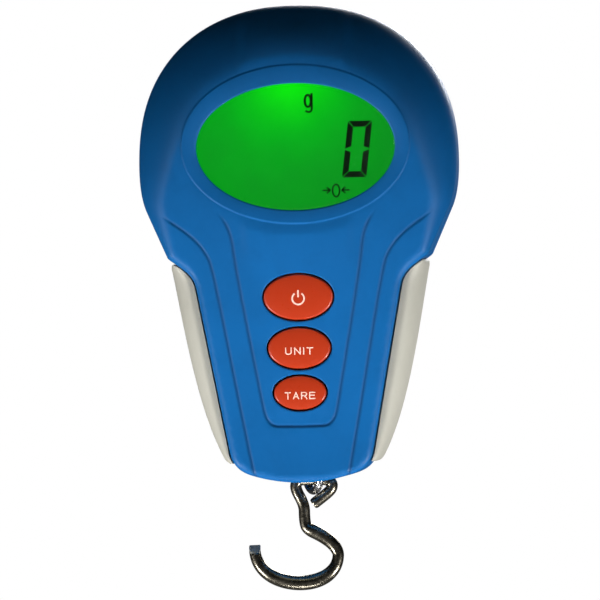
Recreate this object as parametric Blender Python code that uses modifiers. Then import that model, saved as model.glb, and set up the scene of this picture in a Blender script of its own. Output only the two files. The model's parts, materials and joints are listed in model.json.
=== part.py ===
"""Digital hanging scale for fishing: a pear-shaped case with a display, three keys, a load cell and a hook.

Frame: the origin is the middle of the head, where a palm holds the case. +X is to the right as the display
is read, +Y points out of the back and +Z points up. Lengths below are in millimetres; the helpers at the
start turn them into metres.
"""

import math
from collections import namedtuple

import bmesh
import bpy
from mathutils import Euler, Vector

MM = 0.001
GAP = 0.3  # between pieces that touch on the real object

# A rounded edge: how far it reaches in from the outline, how far it falls below the flat face, the power of its
# superelliptic section, and how much further it reaches at the very top of the head.
Edge = namedtuple("Edge", "reach fall power stretch")

# Case
HEAD_HALF_WIDTH = 41.5
HEAD_HEIGHT = 40.4  # from the middle of the head to its top
HEAD_POWER = 2.25  # of the superellipse that the head follows
CASE_BOTTOM = -84.0
BOTTOM_RADIUS = 43.0
FRONT_DEPTH = 16.5  # from the parting plane to the flat front
REAR_DEPTH = 14.5
WALL = 2.2
FRONT_EDGE = Edge(11.4, 13.0, 1.5, 0.35)  # on the head, which is a low dome
REAR_EDGE = Edge(8.0, 7.0, 2.0, 0.0)
LOWER_EDGE = Edge(1.8, 1.5, 2.0, 0.0)  # where the side grips lie beside the case, front and rear
LOWER_EDGE_Z = -34.0
HEAD_EDGE_Z = 10.0  # the edge widens from the one height to the other
LEAST_EDGE = 0.5
EDGE_STEPS = 5
GROOVE_RADIUS = 0.5
GROOVE_LIFT = 0.12  # the grooves' round cutters lie this far out of the face

# Side grips
GRIP_TOP = -26.6
GRIP_BOTTOM = -78.8
GRIP_GAP = 0.45
GRIP_MIDDLE_Y = -1.0
GRIP_HALF_DEPTH = 13.2
GRIP_POWER = 0.7  # of the superelliptic section; below 1 it is boxy
GRIP_LEAST_WIDTH = 0.8
GRIP_TONGUES = (-42.0, -62.0)
TONGUE_HALF = (1.2, 4.0)  # half its thickness and half its height

# Display
WINDOW_Z = 3.4
WINDOW_HALF = (25.9, 16.5)
BEZEL_Z = 4.1
BEZEL_HALF = (29.8, 20.7)
BEZEL_RISE = 0.25  # the rim round the window stands out this far
LENS_FRONT = -15.6
LENS_FLANGE = (-13.9, -12.7)  # front and back of the flange behind the case wall
LENS_FLANGE_REACH = 1.7
LCD_HALF = (26.5, 17.0)
LCD_FRONT = -12.3
LCD_BACK = -10.5
HOLDER_FRONT = -11.2
HOLDER_WALL = 1.5

# Keys: name, height, half width, half height
KEYS = (("power", -35.7, 9.0, 5.9), ("unit", -49.0, 8.1, 5.3), ("tare", -60.6, 6.8, 4.4))
KEY_GAP = 0.4
KEY_CROWN = 0.7  # how far a key stands out of the case
KEY_FLANGE = (1.1, 0.7)  # how far the rim behind the case reaches past a key, across and up
KEY_STEPS = 24  # points round a key
KEY_BACK = -13.9
KEY_POST_BACK = -12.2
PLUNGER_FRONT = -11.9
PLUNGER_BACK = -10.2
PLUNGER_RADIUS = 1.6
SWITCH_FRONT = -10.9
SWITCH_HALF = 3.0

# Circuit board, seen from the side
BOARD_FRONT = -8.1
BOARD_BACK = -6.5
BOARD_SCREWS = ((34.0, 3.4), (-34.0, 3.4), (9.3, -69.0), (-9.3, -69.0))

# Case screws
CASE_SCREWS = ((19.0, 29.5), (-19.0, 29.5), (28.5, -22.5), (-28.5, -22.5), (13.0, -75.0), (-13.0, -75.0))
SCREW_SEAT = 8.0
SCREW_CLEARANCE = 1.75
SCREW_HEAD_BORE = 3.0
FRONT_BOSS_RADIUS = 3.2
REAR_BOSS_RADIUS = 4.2

# Load train
LOAD_X = 2.0
LOAD_Y = 1.0
CELL_HALF_WIDTH = 11.0
CELL_TOP = -14.0
CELL_BOTTOM = -58.0
CELL_THICKNESS = 8.4
CELL_SCREW = (6.0, -20.0)
CELL_SCREW_HOLE = 1.8
HANGER_PIN_Z = -53.0
HANGER_PIN_HOLE = 2.3
HANGER_BASE = -76.0
EYE_RADIUS = 4.4
EYE_WIRE = 1.05
EYE_Z = -82.0
EYE_TWIST = math.radians(28.0)  # of the ring's plane about the load axis
SHANK_RADIUS = 1.5
SHANK_TOP = -68.6
OPENING_RADIUS = 7.4
OPENING_SPAN = (-92.0, -79.0)

# Hook
HOOK_WIRE = 1.5
HOOK_SWELL = 0.45  # how much thicker the wire's radius is where it lies level in the bowl
HOOK_SWELL_Z = -94.5  # the swelling starts here and is full a little lower
HOOK_SWELL_LENGTH = 2.5
HOOK_TOP = -83.45
HOOK_EYE = (-2.6, 6.9)  # left and right side of the wire's middle

# Battery bay and door
BAY_HALF_WIDTH = 26.6
BAY_BOTTOM = -5.5
BAY_TOP = 18.7
BAY_FLOOR = -0.3
BAY_WALL = 1.4
TAB_PLACES = (-15.0, 15.0)
CELL_HALF_LENGTH = 22.25
CELL_SHIFT = 3.35  # each cell lies this far towards its plus end
SPRING_NEAR = 19.2
SPRING_FAR = 25.4
SPRING_WIRE = 0.35
CONTACT_THICKNESS = 0.5
CELL_RADIUS = 5.25
CELL_Y = 5.4
CELL_HEIGHTS = (12.2, 1.0)  # upper and lower cell
DOOR_THICKNESS = 2.0
DOOR_AXIS = (14.2, 18.4)  # y and z of the hinge line


# ---------------------------------------------------------------- helpers

def clear_scene():
    for obj in list(bpy.data.objects):
        bpy.data.objects.remove(obj, do_unlink=True)


def new_collection(name, hidden=False):
    collection = bpy.data.collections.new(name)
    bpy.context.scene.collection.children.link(collection)
    collection.hide_render = hidden
    return collection


clear_scene()
PARTS = new_collection("digital_fish_scale")
CUTTERS = new_collection("cutters", hidden=True)


def srgb(red, green, blue):
    """A linear colour from 8-bit display values."""
    def channel(value):
        value /= 255.0
        return value / 12.92 if value <= 0.04045 else ((value + 0.055) / 1.055) ** 2.4
    return (channel(red), channel(green), channel(blue), 1.0)


def material(name, color, roughness, metallic=0.0, alpha=1.0):
    mat = bpy.data.materials.new(name)
    mat.use_nodes = True
    shader = mat.node_tree.nodes["Principled BSDF"]
    shader.inputs["Base Color"].default_value = color
    shader.inputs["Roughness"].default_value = roughness
    shader.inputs["Metallic"].default_value = metallic
    shader.inputs["Alpha"].default_value = alpha
    mat.diffuse_color = color
    return mat


BLUE = material("case_blue", srgb(27, 107, 180), 0.5)
CREAM = material("grip_cream", srgb(208, 205, 192), 0.55)
RED = material("key_red", srgb(205, 62, 30), 0.45)
LENS = material("lens_clear", srgb(235, 240, 238), 0.08, alpha=0.3)
LCD = material("lcd_glass", srgb(40, 190, 40), 0.15)
LIGHT_GUIDE = material("light_guide", srgb(120, 230, 120), 0.3)
WHITE = material("white_plastic", srgb(225, 225, 220), 0.5)
RUBBER = material("contact_rubber", srgb(60, 60, 62), 0.7)
BOARD = material("board_green", srgb(20, 92, 48), 0.45)
BLACK = material("black_resin", srgb(22, 22, 24), 0.5)
NICKEL = material("black_nickel", srgb(72, 68, 62), 0.25, metallic=1.0)
STEEL = material("bright_steel", srgb(185, 187, 190), 0.3, metallic=1.0)
ALUMINIUM = material("aluminium", srgb(196, 198, 202), 0.35, metallic=1.0)
SILICONE = material("white_silicone", srgb(232, 232, 228), 0.6)
JACKET = material("battery_jacket", srgb(58, 62, 70), 0.35)
WIRE_RED = material("wire_red", srgb(180, 30, 28), 0.5)
WIRE_BLACK = material("wire_black", srgb(28, 28, 30), 0.5)


def place(name, mesh, mat, location=(0, 0, 0), rotation=(0, 0, 0), parent=None):
    """A named part of the object, or a hidden cutter where no material is given."""
    obj = bpy.data.objects.new(name, mesh)
    obj.location = Vector(location) * MM
    obj.rotation_euler = Euler(rotation)
    (PARTS if mat else CUTTERS).objects.link(obj)
    if mat:
        mesh.materials.append(mat)
    else:
        obj.hide_render = True
        obj.display_type = "WIRE"
    if parent:
        obj.parent = parent
        obj.location -= parent.location
    return obj


def pivot(name, location, rotation=(0, 0, 0)):
    """An empty on a joint's axis, which carries the pieces that turn or slide on it."""
    empty = bpy.data.objects.new(name, None)
    empty.location = Vector(location) * MM
    empty.rotation_euler = Euler(rotation)
    empty.empty_display_size = 5 * MM
    PARTS.objects.link(empty)
    return empty


def mesh_from(name, bm):
    bmesh.ops.recalc_face_normals(bm, faces=bm.faces)
    bmesh.ops.scale(bm, verts=bm.verts, vec=(MM, MM, MM))
    mesh = bpy.data.meshes.new(name)
    bm.to_mesh(mesh)
    bm.free()
    return mesh


def smooth(obj, angle=40):
    obj.data.shade_smooth()
    obj.data.set_sharp_from_angle(angle=math.radians(angle))


def box(name, mat, low, high, parent=None):
    """A box between two corners."""
    size = [b - a for a, b in zip(low, high)]
    middle = [(a + b) / 2 for a, b in zip(low, high)]
    bm = bmesh.new()
    bmesh.ops.create_cube(bm, size=1.0)
    bmesh.ops.scale(bm, verts=bm.verts, vec=size)
    return place(name, mesh_from(name, bm), mat, middle, parent=parent)


def cylinder(name, mat, radius, start, end, at, axis="Y", sides=16, parent=None, top_radius=None):
    """A cylinder from start to end along an axis; at holds its other two coordinates in X, Y, Z order."""
    bm = bmesh.new()
    radius_2 = radius if top_radius is None else top_radius
    bmesh.ops.create_cone(bm, cap_ends=True, segments=sides, radius1=radius, radius2=radius_2,
                          depth=end - start)
    middle = (start + end) / 2
    location = {"X": (middle, *at), "Y": (at[0], middle, at[1]), "Z": (*at, middle)}[axis]
    rotation = {"X": (0, math.pi / 2, 0), "Y": (-math.pi / 2, 0, 0), "Z": (0, 0, 0)}[axis]
    obj = place(name, mesh_from(name, bm), mat, location, rotation, parent)
    smooth(obj)
    return obj


def turned(name, mat, profile, location, rotation=(0, 0, 0), steps=20, parent=None):
    """A turned piece. The profile holds (radius, height) down its outer side, top to bottom; it closes on
    itself where it doesn't start on the axis."""
    mesh = bpy.data.meshes.new(name)
    edges = [(i, i + 1) for i in range(len(profile) - 1)]
    if profile[0][0] > 0:
        edges.append((len(profile) - 1, 0))
    mesh.from_pydata([(r * MM, 0, z * MM) for r, z in profile], edges, [])
    obj = place(name, mesh, mat, location, rotation, parent)
    screw = obj.modifiers.new("turn", "SCREW")
    screw.steps = screw.render_steps = steps
    screw.use_merge_vertices = True
    screw.merge_threshold = 0.00001
    screw.use_smooth_shade = False
    return obj


def converted(curve_object):
    """The mesh of a curve object, with its caps welded on. The curve object is removed."""
    graph = bpy.context.evaluated_depsgraph_get()
    mesh = bpy.data.meshes.new_from_object(curve_object.evaluated_get(graph))
    bm = bmesh.new()
    bm.from_mesh(mesh)
    bmesh.ops.remove_doubles(bm, verts=bm.verts, dist=0.000001)
    bmesh.ops.recalc_face_normals(bm, faces=bm.faces)
    bm.to_mesh(mesh)
    bm.free()
    mesh.materials.clear()
    bpy.data.objects.remove(curve_object, do_unlink=True)
    return mesh


def curve_object(name, points, closed=False, swell=None):
    """A polyline as a curve; swell holds how many times thicker a tube along it is at each of its points."""
    curve = bpy.data.curves.new(name, "CURVE")
    spline = curve.splines.new("POLY")
    spline.points.add(len(points) - 1)
    for point, where in zip(spline.points, points):
        point.co = (*(Vector(where) * MM), 1.0)
    for point, times in zip(spline.points, swell or ()):
        point.radius = times
    spline.use_cyclic_u = closed
    obj = bpy.data.objects.new(name, curve)
    bpy.context.scene.collection.objects.link(obj)
    return obj


def tube_mesh(name, points, radius, closed=False, swell=None):
    obj = curve_object(name, points, closed, swell)
    obj.data.dimensions = "3D"
    obj.data.bevel_depth = radius * MM
    obj.data.bevel_resolution = 2
    obj.data.use_fill_caps = not closed
    return converted(obj)


def tube(name, mat, points, radius, closed=False, swell=None):
    obj = place(name, tube_mesh(name, points, radius, closed, swell), mat)
    smooth(obj, 60)
    return obj


def plate(name, mat, outline, front, back, parent=None):
    """A flat outline in (x, z), filled and made as thick as front to back along Y."""
    obj = curve_object(name, [(x, z, 0) for x, z in outline], closed=True)
    obj.data.dimensions = "2D"
    obj.data.fill_mode = "BOTH"
    obj.data.extrude = (back - front) / 2 * MM
    mesh = converted(obj)
    return place(name, mesh, mat, (0, (front + back) / 2, 0), (math.pi / 2, 0, 0), parent)


def boolean(target, helper, operation):
    modifier = target.modifiers.new(operation.lower(), "BOOLEAN")
    modifier.operation = operation
    modifier.object = helper


def cut(target, *helpers):
    for helper in helpers:
        boolean(target, helper, "DIFFERENCE")


def fuse(target, *helpers):
    for helper in helpers:
        boolean(target, helper, "UNION")


# ---------------------------------------------------------------- outlines

def ellipse(half_width, half_height, center_z, steps=36, center_x=0.0):
    return [
        (
            center_x + half_width * math.cos(2 * math.pi * i / steps),
            center_z + half_height * math.sin(2 * math.pi * i / steps),
        )
        for i in range(steps)
    ]


def bezier(points, steps):
    """Points along a quadratic or cubic Bezier curve, leaving out the last."""
    degree = len(points) - 1
    found = []
    for i in range(steps):
        t = i / steps
        weights = [math.comb(degree, k) * (1 - t) ** (degree - k) * t**k for k in range(degree + 1)]
        found.append(tuple(sum(w * p[a] for w, p in zip(weights, points)) for a in range(2)))
    return found


def chamfered(left, right, bottom, top, chamfer):
    return [
        (left + chamfer, bottom), (right - chamfer, bottom), (right, bottom + chamfer), (right, top - chamfer),
        (right - chamfer, top), (left + chamfer, top), (left, top - chamfer), (left, bottom + chamfer),
    ]


def bottom_arc(x):
    """Height of the case's lower end, which is one wide arc."""
    return CASE_BOTTOM + BOTTOM_RADIUS - math.sqrt(BOTTOM_RADIUS**2 - x * x)


def right_half_outline():
    """Right half of the case's outline, from the top middle to the bottom middle."""
    points = []
    for i in range(14):
        angle = math.pi / 2 * (1 - i / 14)
        power = 2 / HEAD_POWER
        points.append((HEAD_HALF_WIDTH * math.cos(angle) ** power, HEAD_HEIGHT * math.sin(angle) ** power))
    shoulder = (39.6, -12.6)
    waist = (33.9, -25.2)
    flank_top = (26.5, -33.4)
    flank_bottom = (18.6, -76.2)
    corner = (11.5, bottom_arc(11.5))
    points += bezier([(HEAD_HALF_WIDTH, 0), (HEAD_HALF_WIDTH, -6.5), (40.6, -10.2), shoulder], 5)
    points += bezier([shoulder, (36.8, -18.8), waist], 3)
    points += bezier([waist, (30.6, -27.7), (27.2, -29.2), flank_top], 6)
    points += bezier([flank_top, (22.55, -54.8), flank_bottom], 6)
    points += bezier([flank_bottom, (17.6, -80.6), (14.5, -81.6), corner], 5)
    points += [(x, bottom_arc(x)) for x in (11.5, 8.8, 5.9, 3.0, 0.0)]
    return points


def case_outline():
    """Whole outline, clockwise from the top middle."""
    right = right_half_outline()
    return right + [(-x, z) for x, z in reversed(right[1:-1])]


def flank_x(z):
    """Half width of the blue case at a height below the waist."""
    points = [p for p in right_half_outline() if p[1] <= -25.0]
    for (x0, z0), (x1, z1) in zip(points, points[1:]):
        if z1 <= z <= z0:
            return x0 + (x1 - x0) * (z0 - z) / (z0 - z1)
    return points[0][0]


def outline_normals(outline):
    """Unit vectors that point out of the outline, one for each of its points."""
    normals = []
    for i in range(len(outline)):
        x0, z0 = outline[i - 1]
        x1, z1 = outline[(i + 1) % len(outline)]
        length = math.hypot(x1 - x0, z1 - z0)
        normals.append((-(z1 - z0) / length, (x1 - x0) / length))
    return normals


def edge_at(edge, z, normal_z):
    """The edge at one point of the outline, between the narrow lower edge and the full one of the head."""
    share = min(1.0, max(0.0, (z - LOWER_EDGE_Z) / (HEAD_EDGE_Z - LOWER_EDGE_Z)))
    share = share * share * (3 - 2 * share)
    reach, fall, power, stretch = (low + (high - low) * share for low, high in zip(LOWER_EDGE, edge))
    return reach * (1 + stretch * max(normal_z, 0.0)), fall, power


def case_rings(edge, depth, offset, start):
    """Sections of one half of the case, from the parting plane over the rounded edge: rings of (x, distance
    from the parting plane, z). An offset makes the same shape smaller on all sides, for the cavity."""
    outline = case_outline()
    rings = [[] for _ in range(EDGE_STEPS + 2)]
    for (x, z), (nx, nz) in zip(outline, outline_normals(outline)):
        reach, fall, power = edge_at(edge, z, nz)
        reach, fall = max(reach - offset, LEAST_EDGE), max(fall - offset, LEAST_EDGE)
        rings[0].append((x - nx * offset, start, z - nz * offset))
        for k in range(EDGE_STEPS + 1):
            angle = math.pi / 2 * k / EDGE_STEPS
            inset = offset + reach * (1 - max(math.cos(angle), 0.0) ** (2 / power))
            drop = fall * (1 - math.sin(angle) ** (2 / power))
            rings[k + 1].append((x - nx * inset, depth - offset - drop, z - nz * inset))
    return rings


def case_half(name, mat, edge, depth, side, offset=0.0, start=GAP / 2):
    """One half of the case as a solid: a loft from the parting plane over a rounded edge to the flat face.
    side is -1 for the front half and 1 for the rear one."""
    bm = bmesh.new()
    rings = []
    for ring in case_rings(edge, depth, offset, start):
        rings.append([bm.verts.new((x, side * y, z)) for x, y, z in ring])
    count = len(rings[0])
    for lower, upper in zip(rings, rings[1:]):
        for i in range(count):
            j = (i + 1) % count
            bm.faces.new((lower[i], lower[j], upper[j], upper[i]))
    bm.faces.new(rings[0])
    bm.faces.new(rings[-1])
    return place(name, mesh_from(name, bm), mat)


# ---------------------------------------------------------------- case

def opening_cutter(name):
    """The round opening in the bottom of the case, in which the load eye turns."""
    return cylinder(name, None, OPENING_RADIUS, *OPENING_SPAN, (LOAD_X, LOAD_Y), "Z", 32)


def tongue_notches(name):
    """Notches on the parting plane that hold the side grips' tongues."""
    notches = []
    for side in (-1, 1):
        for i, z in enumerate(GRIP_TONGUES):
            middle = side * flank_x(z)
            low = (middle - 5, -TONGUE_HALF[0] - GAP, z - TONGUE_HALF[1] - GAP)
            high = (middle + 5, TONGUE_HALF[0] + GAP, z + TONGUE_HALF[1] + GAP)
            notches.append(box(f"{name}_{side}_{i}", None, low, high))
    return notches


def groove_cutters():
    """Shallow grooves on the flat front: a U round the keys, and a line down each side of it."""
    center_y = -FRONT_DEPTH - GROOVE_LIFT
    right = [(21.5, -14.2), (18.2, -16.8), (16.9, -21.0), (16.2, -28.0), (11.7, -56.0), (10.1, -64.0)]
    right += bezier([(10.1, -64.0), (9.2, -69.0), (5.0, -69.0)], 4)
    inner = right + [(0.0, -69.0)] + [(-x, z) for x, z in reversed(right)]
    outer = [(31.6, -16.5), (30.5, -17.3), (26.2, -20.7), (22.8, -26.5), (20.4, -40.0), (15.4, -66.2),
             (12.6, -80.0)]
    cutters = []
    for name, route in (("inner", inner), ("right", outer), ("left", [(-x, z) for x, z in outer])):
        mesh = tube_mesh(f"groove_{name}", [(x, center_y, z) for x, z in route], GROOVE_RADIUS)
        cutters.append(place(f"groove_{name}", mesh, None))
    return cutters


def front_case():
    cavity = case_half("front_cavity", None, FRONT_EDGE, FRONT_DEPTH, -1, WALL, start=-2.0)
    for i, (x, z) in enumerate(CASE_SCREWS):
        cut(cavity, cylinder(f"front_boss_{i}", None, FRONT_BOSS_RADIUS, -FRONT_DEPTH, 3, (x, z)))
    for i, (x, z) in enumerate(BOARD_SCREWS):
        cut(cavity, cylinder(f"board_post_{i}", None, 2.2, -FRONT_DEPTH, BOARD_FRONT - GAP, (x, z), sides=16))
    shell = case_half("front_case", BLUE, FRONT_EDGE, FRONT_DEPTH, -1)
    cut(shell, cavity)
    rim_front, rim_back = -FRONT_DEPTH - BEZEL_RISE, -FRONT_DEPTH + WALL / 2
    fuse(shell, plate("bezel_rim", None, ellipse(*BEZEL_HALF, BEZEL_Z), rim_front, rim_back))
    cut(shell, plate("window_opening", None, ellipse(*WINDOW_HALF, WINDOW_Z), -FRONT_DEPTH - 2, -12))
    for name, z, half_width, half_height in KEYS:
        outline = ellipse(half_width + KEY_GAP, half_height + KEY_GAP, z, KEY_STEPS)
        cut(shell, plate(f"{name}_opening", None, outline, -FRONT_DEPTH - 1, -12))
    for i, (x, z) in enumerate(CASE_SCREWS):
        cut(shell, cylinder(f"front_pilot_{i}", None, SCREW_CLEARANCE, -7.0, 3, (x, z), sides=12))
    for i, (x, z) in enumerate(BOARD_SCREWS):
        cut(shell, cylinder(f"post_pilot_{i}", None, 1.0, -13.0, -8, (x, z), sides=10))
    cut(shell, opening_cutter("front_opening"), *tongue_notches("front_notch"), *groove_cutters())
    smooth(shell, 30)
    return shell


def rear_case():
    cavity = case_half("rear_cavity", None, REAR_EDGE, REAR_DEPTH, 1, WALL, start=-2.0)
    tray_low = (-BAY_HALF_WIDTH - BAY_WALL, BAY_FLOOR - BAY_WALL, BAY_BOTTOM - BAY_WALL)
    tray_high = (BAY_HALF_WIDTH + BAY_WALL, REAR_DEPTH, BAY_TOP + BAY_WALL)
    cut(cavity, box("tray_block", None, tray_low, tray_high))
    for i, (x, z) in enumerate(CASE_SCREWS):
        cut(cavity, cylinder(f"rear_boss_{i}", None, REAR_BOSS_RADIUS, -3, REAR_DEPTH, (x, z)))
    for i, side in enumerate((-1, 1)):
        at = (side * CELL_SCREW[0], CELL_SCREW[1])
        cut(cavity, cylinder(f"cell_pillar_{i}", None, 3.2, cell_back() + GAP, REAR_DEPTH, at))
    shell = case_half("rear_case", BLUE, REAR_EDGE, REAR_DEPTH, 1)
    cut(shell, cavity)
    bay_low = (-BAY_HALF_WIDTH, BAY_FLOOR, BAY_BOTTOM)
    cut(shell, box("bay", None, bay_low, (BAY_HALF_WIDTH, REAR_DEPTH + 2, BAY_TOP)))
    cut(shell, box("latch_notch", None, (-6, 11, BAY_BOTTOM - 3.9), (6, REAR_DEPTH + 2, BAY_BOTTOM + 1)))
    for i, x in enumerate(TAB_PLACES):
        cut(shell, box(f"tab_slot_{i}", None, (x - 2.5, 9.8, BAY_TOP - 1), (x + 2.5, 12.6, BAY_TOP + 2.3)))
    for i, z in enumerate(CELL_HEIGHTS):
        low = (BAY_HALF_WIDTH - 1.4, BAY_FLOOR - 3, z - 1.6)
        cut(shell, box(f"contact_slot_{i}", None, low, (BAY_HALF_WIDTH - 0.1, BAY_FLOOR + 1, z + 1.6)))
    for i, (x, z) in enumerate(CASE_SCREWS):
        seat_end = REAR_DEPTH + 3
        cut(shell, cylinder(f"counterbore_{i}", None, SCREW_HEAD_BORE, SCREW_SEAT, seat_end, (x, z), sides=20))
        cut(shell, cylinder(f"clearance_{i}", None, SCREW_CLEARANCE, -3, SCREW_SEAT + 1, (x, z), sides=12))
    for i, side in enumerate((-1, 1)):
        at = (side * CELL_SCREW[0], CELL_SCREW[1])
        cut(shell, cylinder(f"cell_pilot_{i}", None, CELL_SCREW_HOLE, 3, 11, at, sides=12))
    cut(shell, opening_cutter("rear_opening"), *tongue_notches("rear_notch"))
    smooth(shell, 30)
    return shell


def grip_outer_x(z):
    """Half width of the whole object beside the grips."""
    curve = bezier([(33.9, -26.0), (30.8, -42.0), (27.6, -66.0), (19.9, -78.8)], 40) + [(19.9, -78.8)]
    for (x0, z0), (x1, z1) in zip(curve, curve[1:]):
        if z1 <= z <= z0:
            return x0 + (x1 - x0) * (z0 - z) / (z0 - z1)
    return curve[0][0]


def side_grip(name, side):
    """A solid grip lofted down the case's flank: flat against the case, rounded outside."""
    bm = bmesh.new()
    sections = 14
    around = 12
    rings = []
    for i in range(sections):
        z = GRIP_TOP + (GRIP_BOTTOM - GRIP_TOP) * (1 - math.cos(math.pi * i / (sections - 1))) / 2
        inner = flank_x(z) + GRIP_GAP
        width = max(grip_outer_x(z) - inner, GRIP_LEAST_WIDTH)
        half = GRIP_HALF_DEPTH - (0.8 if i in (0, sections - 1) else 0.0)
        ring = []
        for k in range(around + 1):
            angle = -math.pi / 2 + math.pi * k / around
            across = width * max(math.cos(angle), 0.0) ** GRIP_POWER
            along = half * math.copysign(abs(math.sin(angle)) ** GRIP_POWER, angle)
            ring.append(bm.verts.new((side * (inner + across), GRIP_MIDDLE_Y + along, z)))
        rings.append(ring)
    for upper, lower in zip(rings, rings[1:]):
        for k in range(around + 1):
            j = (k + 1) % (around + 1)
            bm.faces.new((upper[k], upper[j], lower[j], lower[k]))
    bm.faces.new(rings[0])
    bm.faces.new(rings[-1])
    grip = place(name, mesh_from(name, bm), CREAM)
    for i, z in enumerate(GRIP_TONGUES):
        middle = side * flank_x(z)
        low, high = sorted((middle - side * 3.4, middle + side * 3.0))
        tongue = box(f"{name}_tongue_{i}", None, (low, -TONGUE_HALF[0], z - TONGUE_HALF[1]),
                     (high, TONGUE_HALF[0], z + TONGUE_HALF[1]))
        fuse(grip, tongue)
    smooth(grip, 35)
    return grip


def case_screws():
    """Pan-head screws from the back, each in a counterbore."""
    profile = [(0.0, 2.0), (1.6, 2.0), (2.6, 1.2), (2.6, 0.0), (1.4, 0.0), (1.4, -13.4), (0.0, -14.4)]
    for i, (x, z) in enumerate(CASE_SCREWS):
        location = (x, SCREW_SEAT + GAP, z)
        screw = turned(f"case_screw_{i + 1}", STEEL, profile, location, (-math.pi / 2, 0, 0), steps=12)
        drive = box(f"case_screw_slot_{i}", None, (x - 1.6, SCREW_SEAT + 1.5, z - 0.4), (x + 1.6, 13, z + 0.4))
        cut(screw, drive)


# ---------------------------------------------------------------- display and electronics

def window_lens():
    flange = ellipse(*(half + LENS_FLANGE_REACH for half in WINDOW_HALF), WINDOW_Z)
    lens = plate("window_lens", LENS, flange, *LENS_FLANGE)
    plug = ellipse(*(half - GAP for half in WINDOW_HALF), WINDOW_Z)
    fuse(lens, plate("lens_plug", None, plug, LENS_FRONT, sum(LENS_FLANGE) / 2))
    smooth(lens, 30)


def display():
    half_x, half_z = LCD_HALF
    left, right, bottom, top = -half_x, half_x, WINDOW_Z - half_z, WINDOW_Z + half_z
    front, back = LCD_BACK + GAP, BOARD_FRONT - GAP
    box("lcd_panel", LCD, (left, LCD_FRONT, bottom), (right, LCD_BACK, top))
    box("light_guide", LIGHT_GUIDE, (left + 0.5, front, bottom + 3.0), (right - 0.5, back, top - 2.4))
    box("backlight_led", WHITE, (-3.0, front + 0.1, top - 2.1), (3.0, back, top - 0.1))
    box("contact_strip", RUBBER, (-20.0, front, bottom + 0.2), (20.0, back, bottom + 2.6))
    inner = (left - GAP, right + GAP, bottom - GAP, top + GAP)
    outer = chamfered(inner[0] - HOLDER_WALL, inner[1] + HOLDER_WALL, inner[2] - HOLDER_WALL,
                      inner[3] + HOLDER_WALL, 2.0)
    holder = plate("display_holder", WHITE, outer, HOLDER_FRONT, back)
    cut(holder, box("holder_opening", None, (inner[0], -14, inner[2]), (inner[1], -6, inner[3])))


def circuit_board():
    board = plate("circuit_board", BOARD, chamfered(-28.0, 28.0, -15.0, 22.0, 3.0), BOARD_FRONT, BOARD_BACK)
    fuse(board, plate("board_ears", None, chamfered(-36.4, 36.4, 0.0, 6.8, 1.5), BOARD_FRONT, BOARD_BACK))
    fuse(board, plate("board_tongue", None, chamfered(-11.5, 11.5, -72.0, -9.0, 1.5), BOARD_FRONT, BOARD_BACK))
    for i, (x, z) in enumerate(BOARD_SCREWS):
        cut(board, cylinder(f"board_hole_{i}", None, 1.2, -9, -5, (x, z), sides=12))
    profile = [(0.0, 1.3), (1.5, 1.1), (2.0, 0.5), (2.0, 0.0), (0.8, 0.0), (0.8, -5.6), (0.0, -6.0)]
    for i, (x, z) in enumerate(BOARD_SCREWS):
        location = (x, BOARD_BACK + GAP, z)
        turned(f"board_screw_{i + 1}", STEEL, profile, location, (-math.pi / 2, 0, 0), steps=12)
    back = BOARD_BACK + GAP
    chip = cylinder("controller_chip", BLACK, 5.0, back, back + 1.4, (12.0, 12.0), sides=20, top_radius=3.6)
    smooth(chip, 60)
    box("converter_chip", BLACK, (-16.0, back, 4.0), (-11.0, back + 1.5, 8.0))
    crystal = plate("crystal", STEEL, ellipse(2.0, 4.5, 0.0, 16, -2.0), back, back + 2.4)
    smooth(crystal, 50)


def keys():
    """Three key caps, each with its plunger, above a tact switch on the board."""
    for name, z, half_width, half_height in KEYS:
        axis = pivot(f"{name}_press", (0, -FRONT_DEPTH, z))
        flange = ellipse(half_width + KEY_FLANGE[0], half_height + KEY_FLANGE[1], z, KEY_STEPS)
        cap = plate(f"{name}_key", RED, flange, KEY_BACK, KEY_BACK + 1.0, parent=axis)
        body = ellipse(half_width, half_height, z, KEY_STEPS)
        fuse(cap, plate(f"{name}_key_body", None, body, -FRONT_DEPTH, KEY_BACK + 0.5))
        fuse(cap, key_crown(name, z, half_width, half_height))
        fuse(cap, cylinder(f"{name}_key_post", None, 1.5, KEY_BACK + 0.5, KEY_POST_BACK, (0, z), sides=14))
        smooth(cap, 30)
        switch_low = (-SWITCH_HALF, SWITCH_FRONT, z - SWITCH_HALF)
        switch = box(f"{name}_switch", BLACK, switch_low, (SWITCH_HALF, BOARD_FRONT - GAP, z + SWITCH_HALF))
        bore_back = PLUNGER_BACK + 3 * GAP
        bore = cylinder(f"{name}_switch_bore", None, PLUNGER_RADIUS + GAP, -12, bore_back, (0, z), sides=16)
        cut(switch, bore)
        cylinder(f"{name}_plunger", WHITE, PLUNGER_RADIUS, PLUNGER_FRONT, PLUNGER_BACK, (0, z), sides=14,
                 parent=axis)


def key_crown(name, z, half_width, half_height):
    """The slightly domed top of a key: a flat slice of an ellipsoid."""
    bm = bmesh.new()
    bmesh.ops.create_uvsphere(bm, u_segments=KEY_STEPS, v_segments=6, radius=1.0)
    bmesh.ops.rotate(bm, verts=bm.verts, cent=(0, 0, 0), matrix=Euler((math.pi / 2, 0, 0)).to_matrix())
    bmesh.ops.scale(bm, verts=bm.verts, vec=(half_width - 0.2, KEY_CROWN, half_height - 0.2))
    return place(f"{name}_crown", mesh_from(f"{name}_crown", bm), None, (0, -FRONT_DEPTH, z))


# ---------------------------------------------------------------- load train

def cell_front():
    return LOAD_Y - CELL_THICKNESS / 2


def cell_back():
    return LOAD_Y + CELL_THICKNESS / 2


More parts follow.
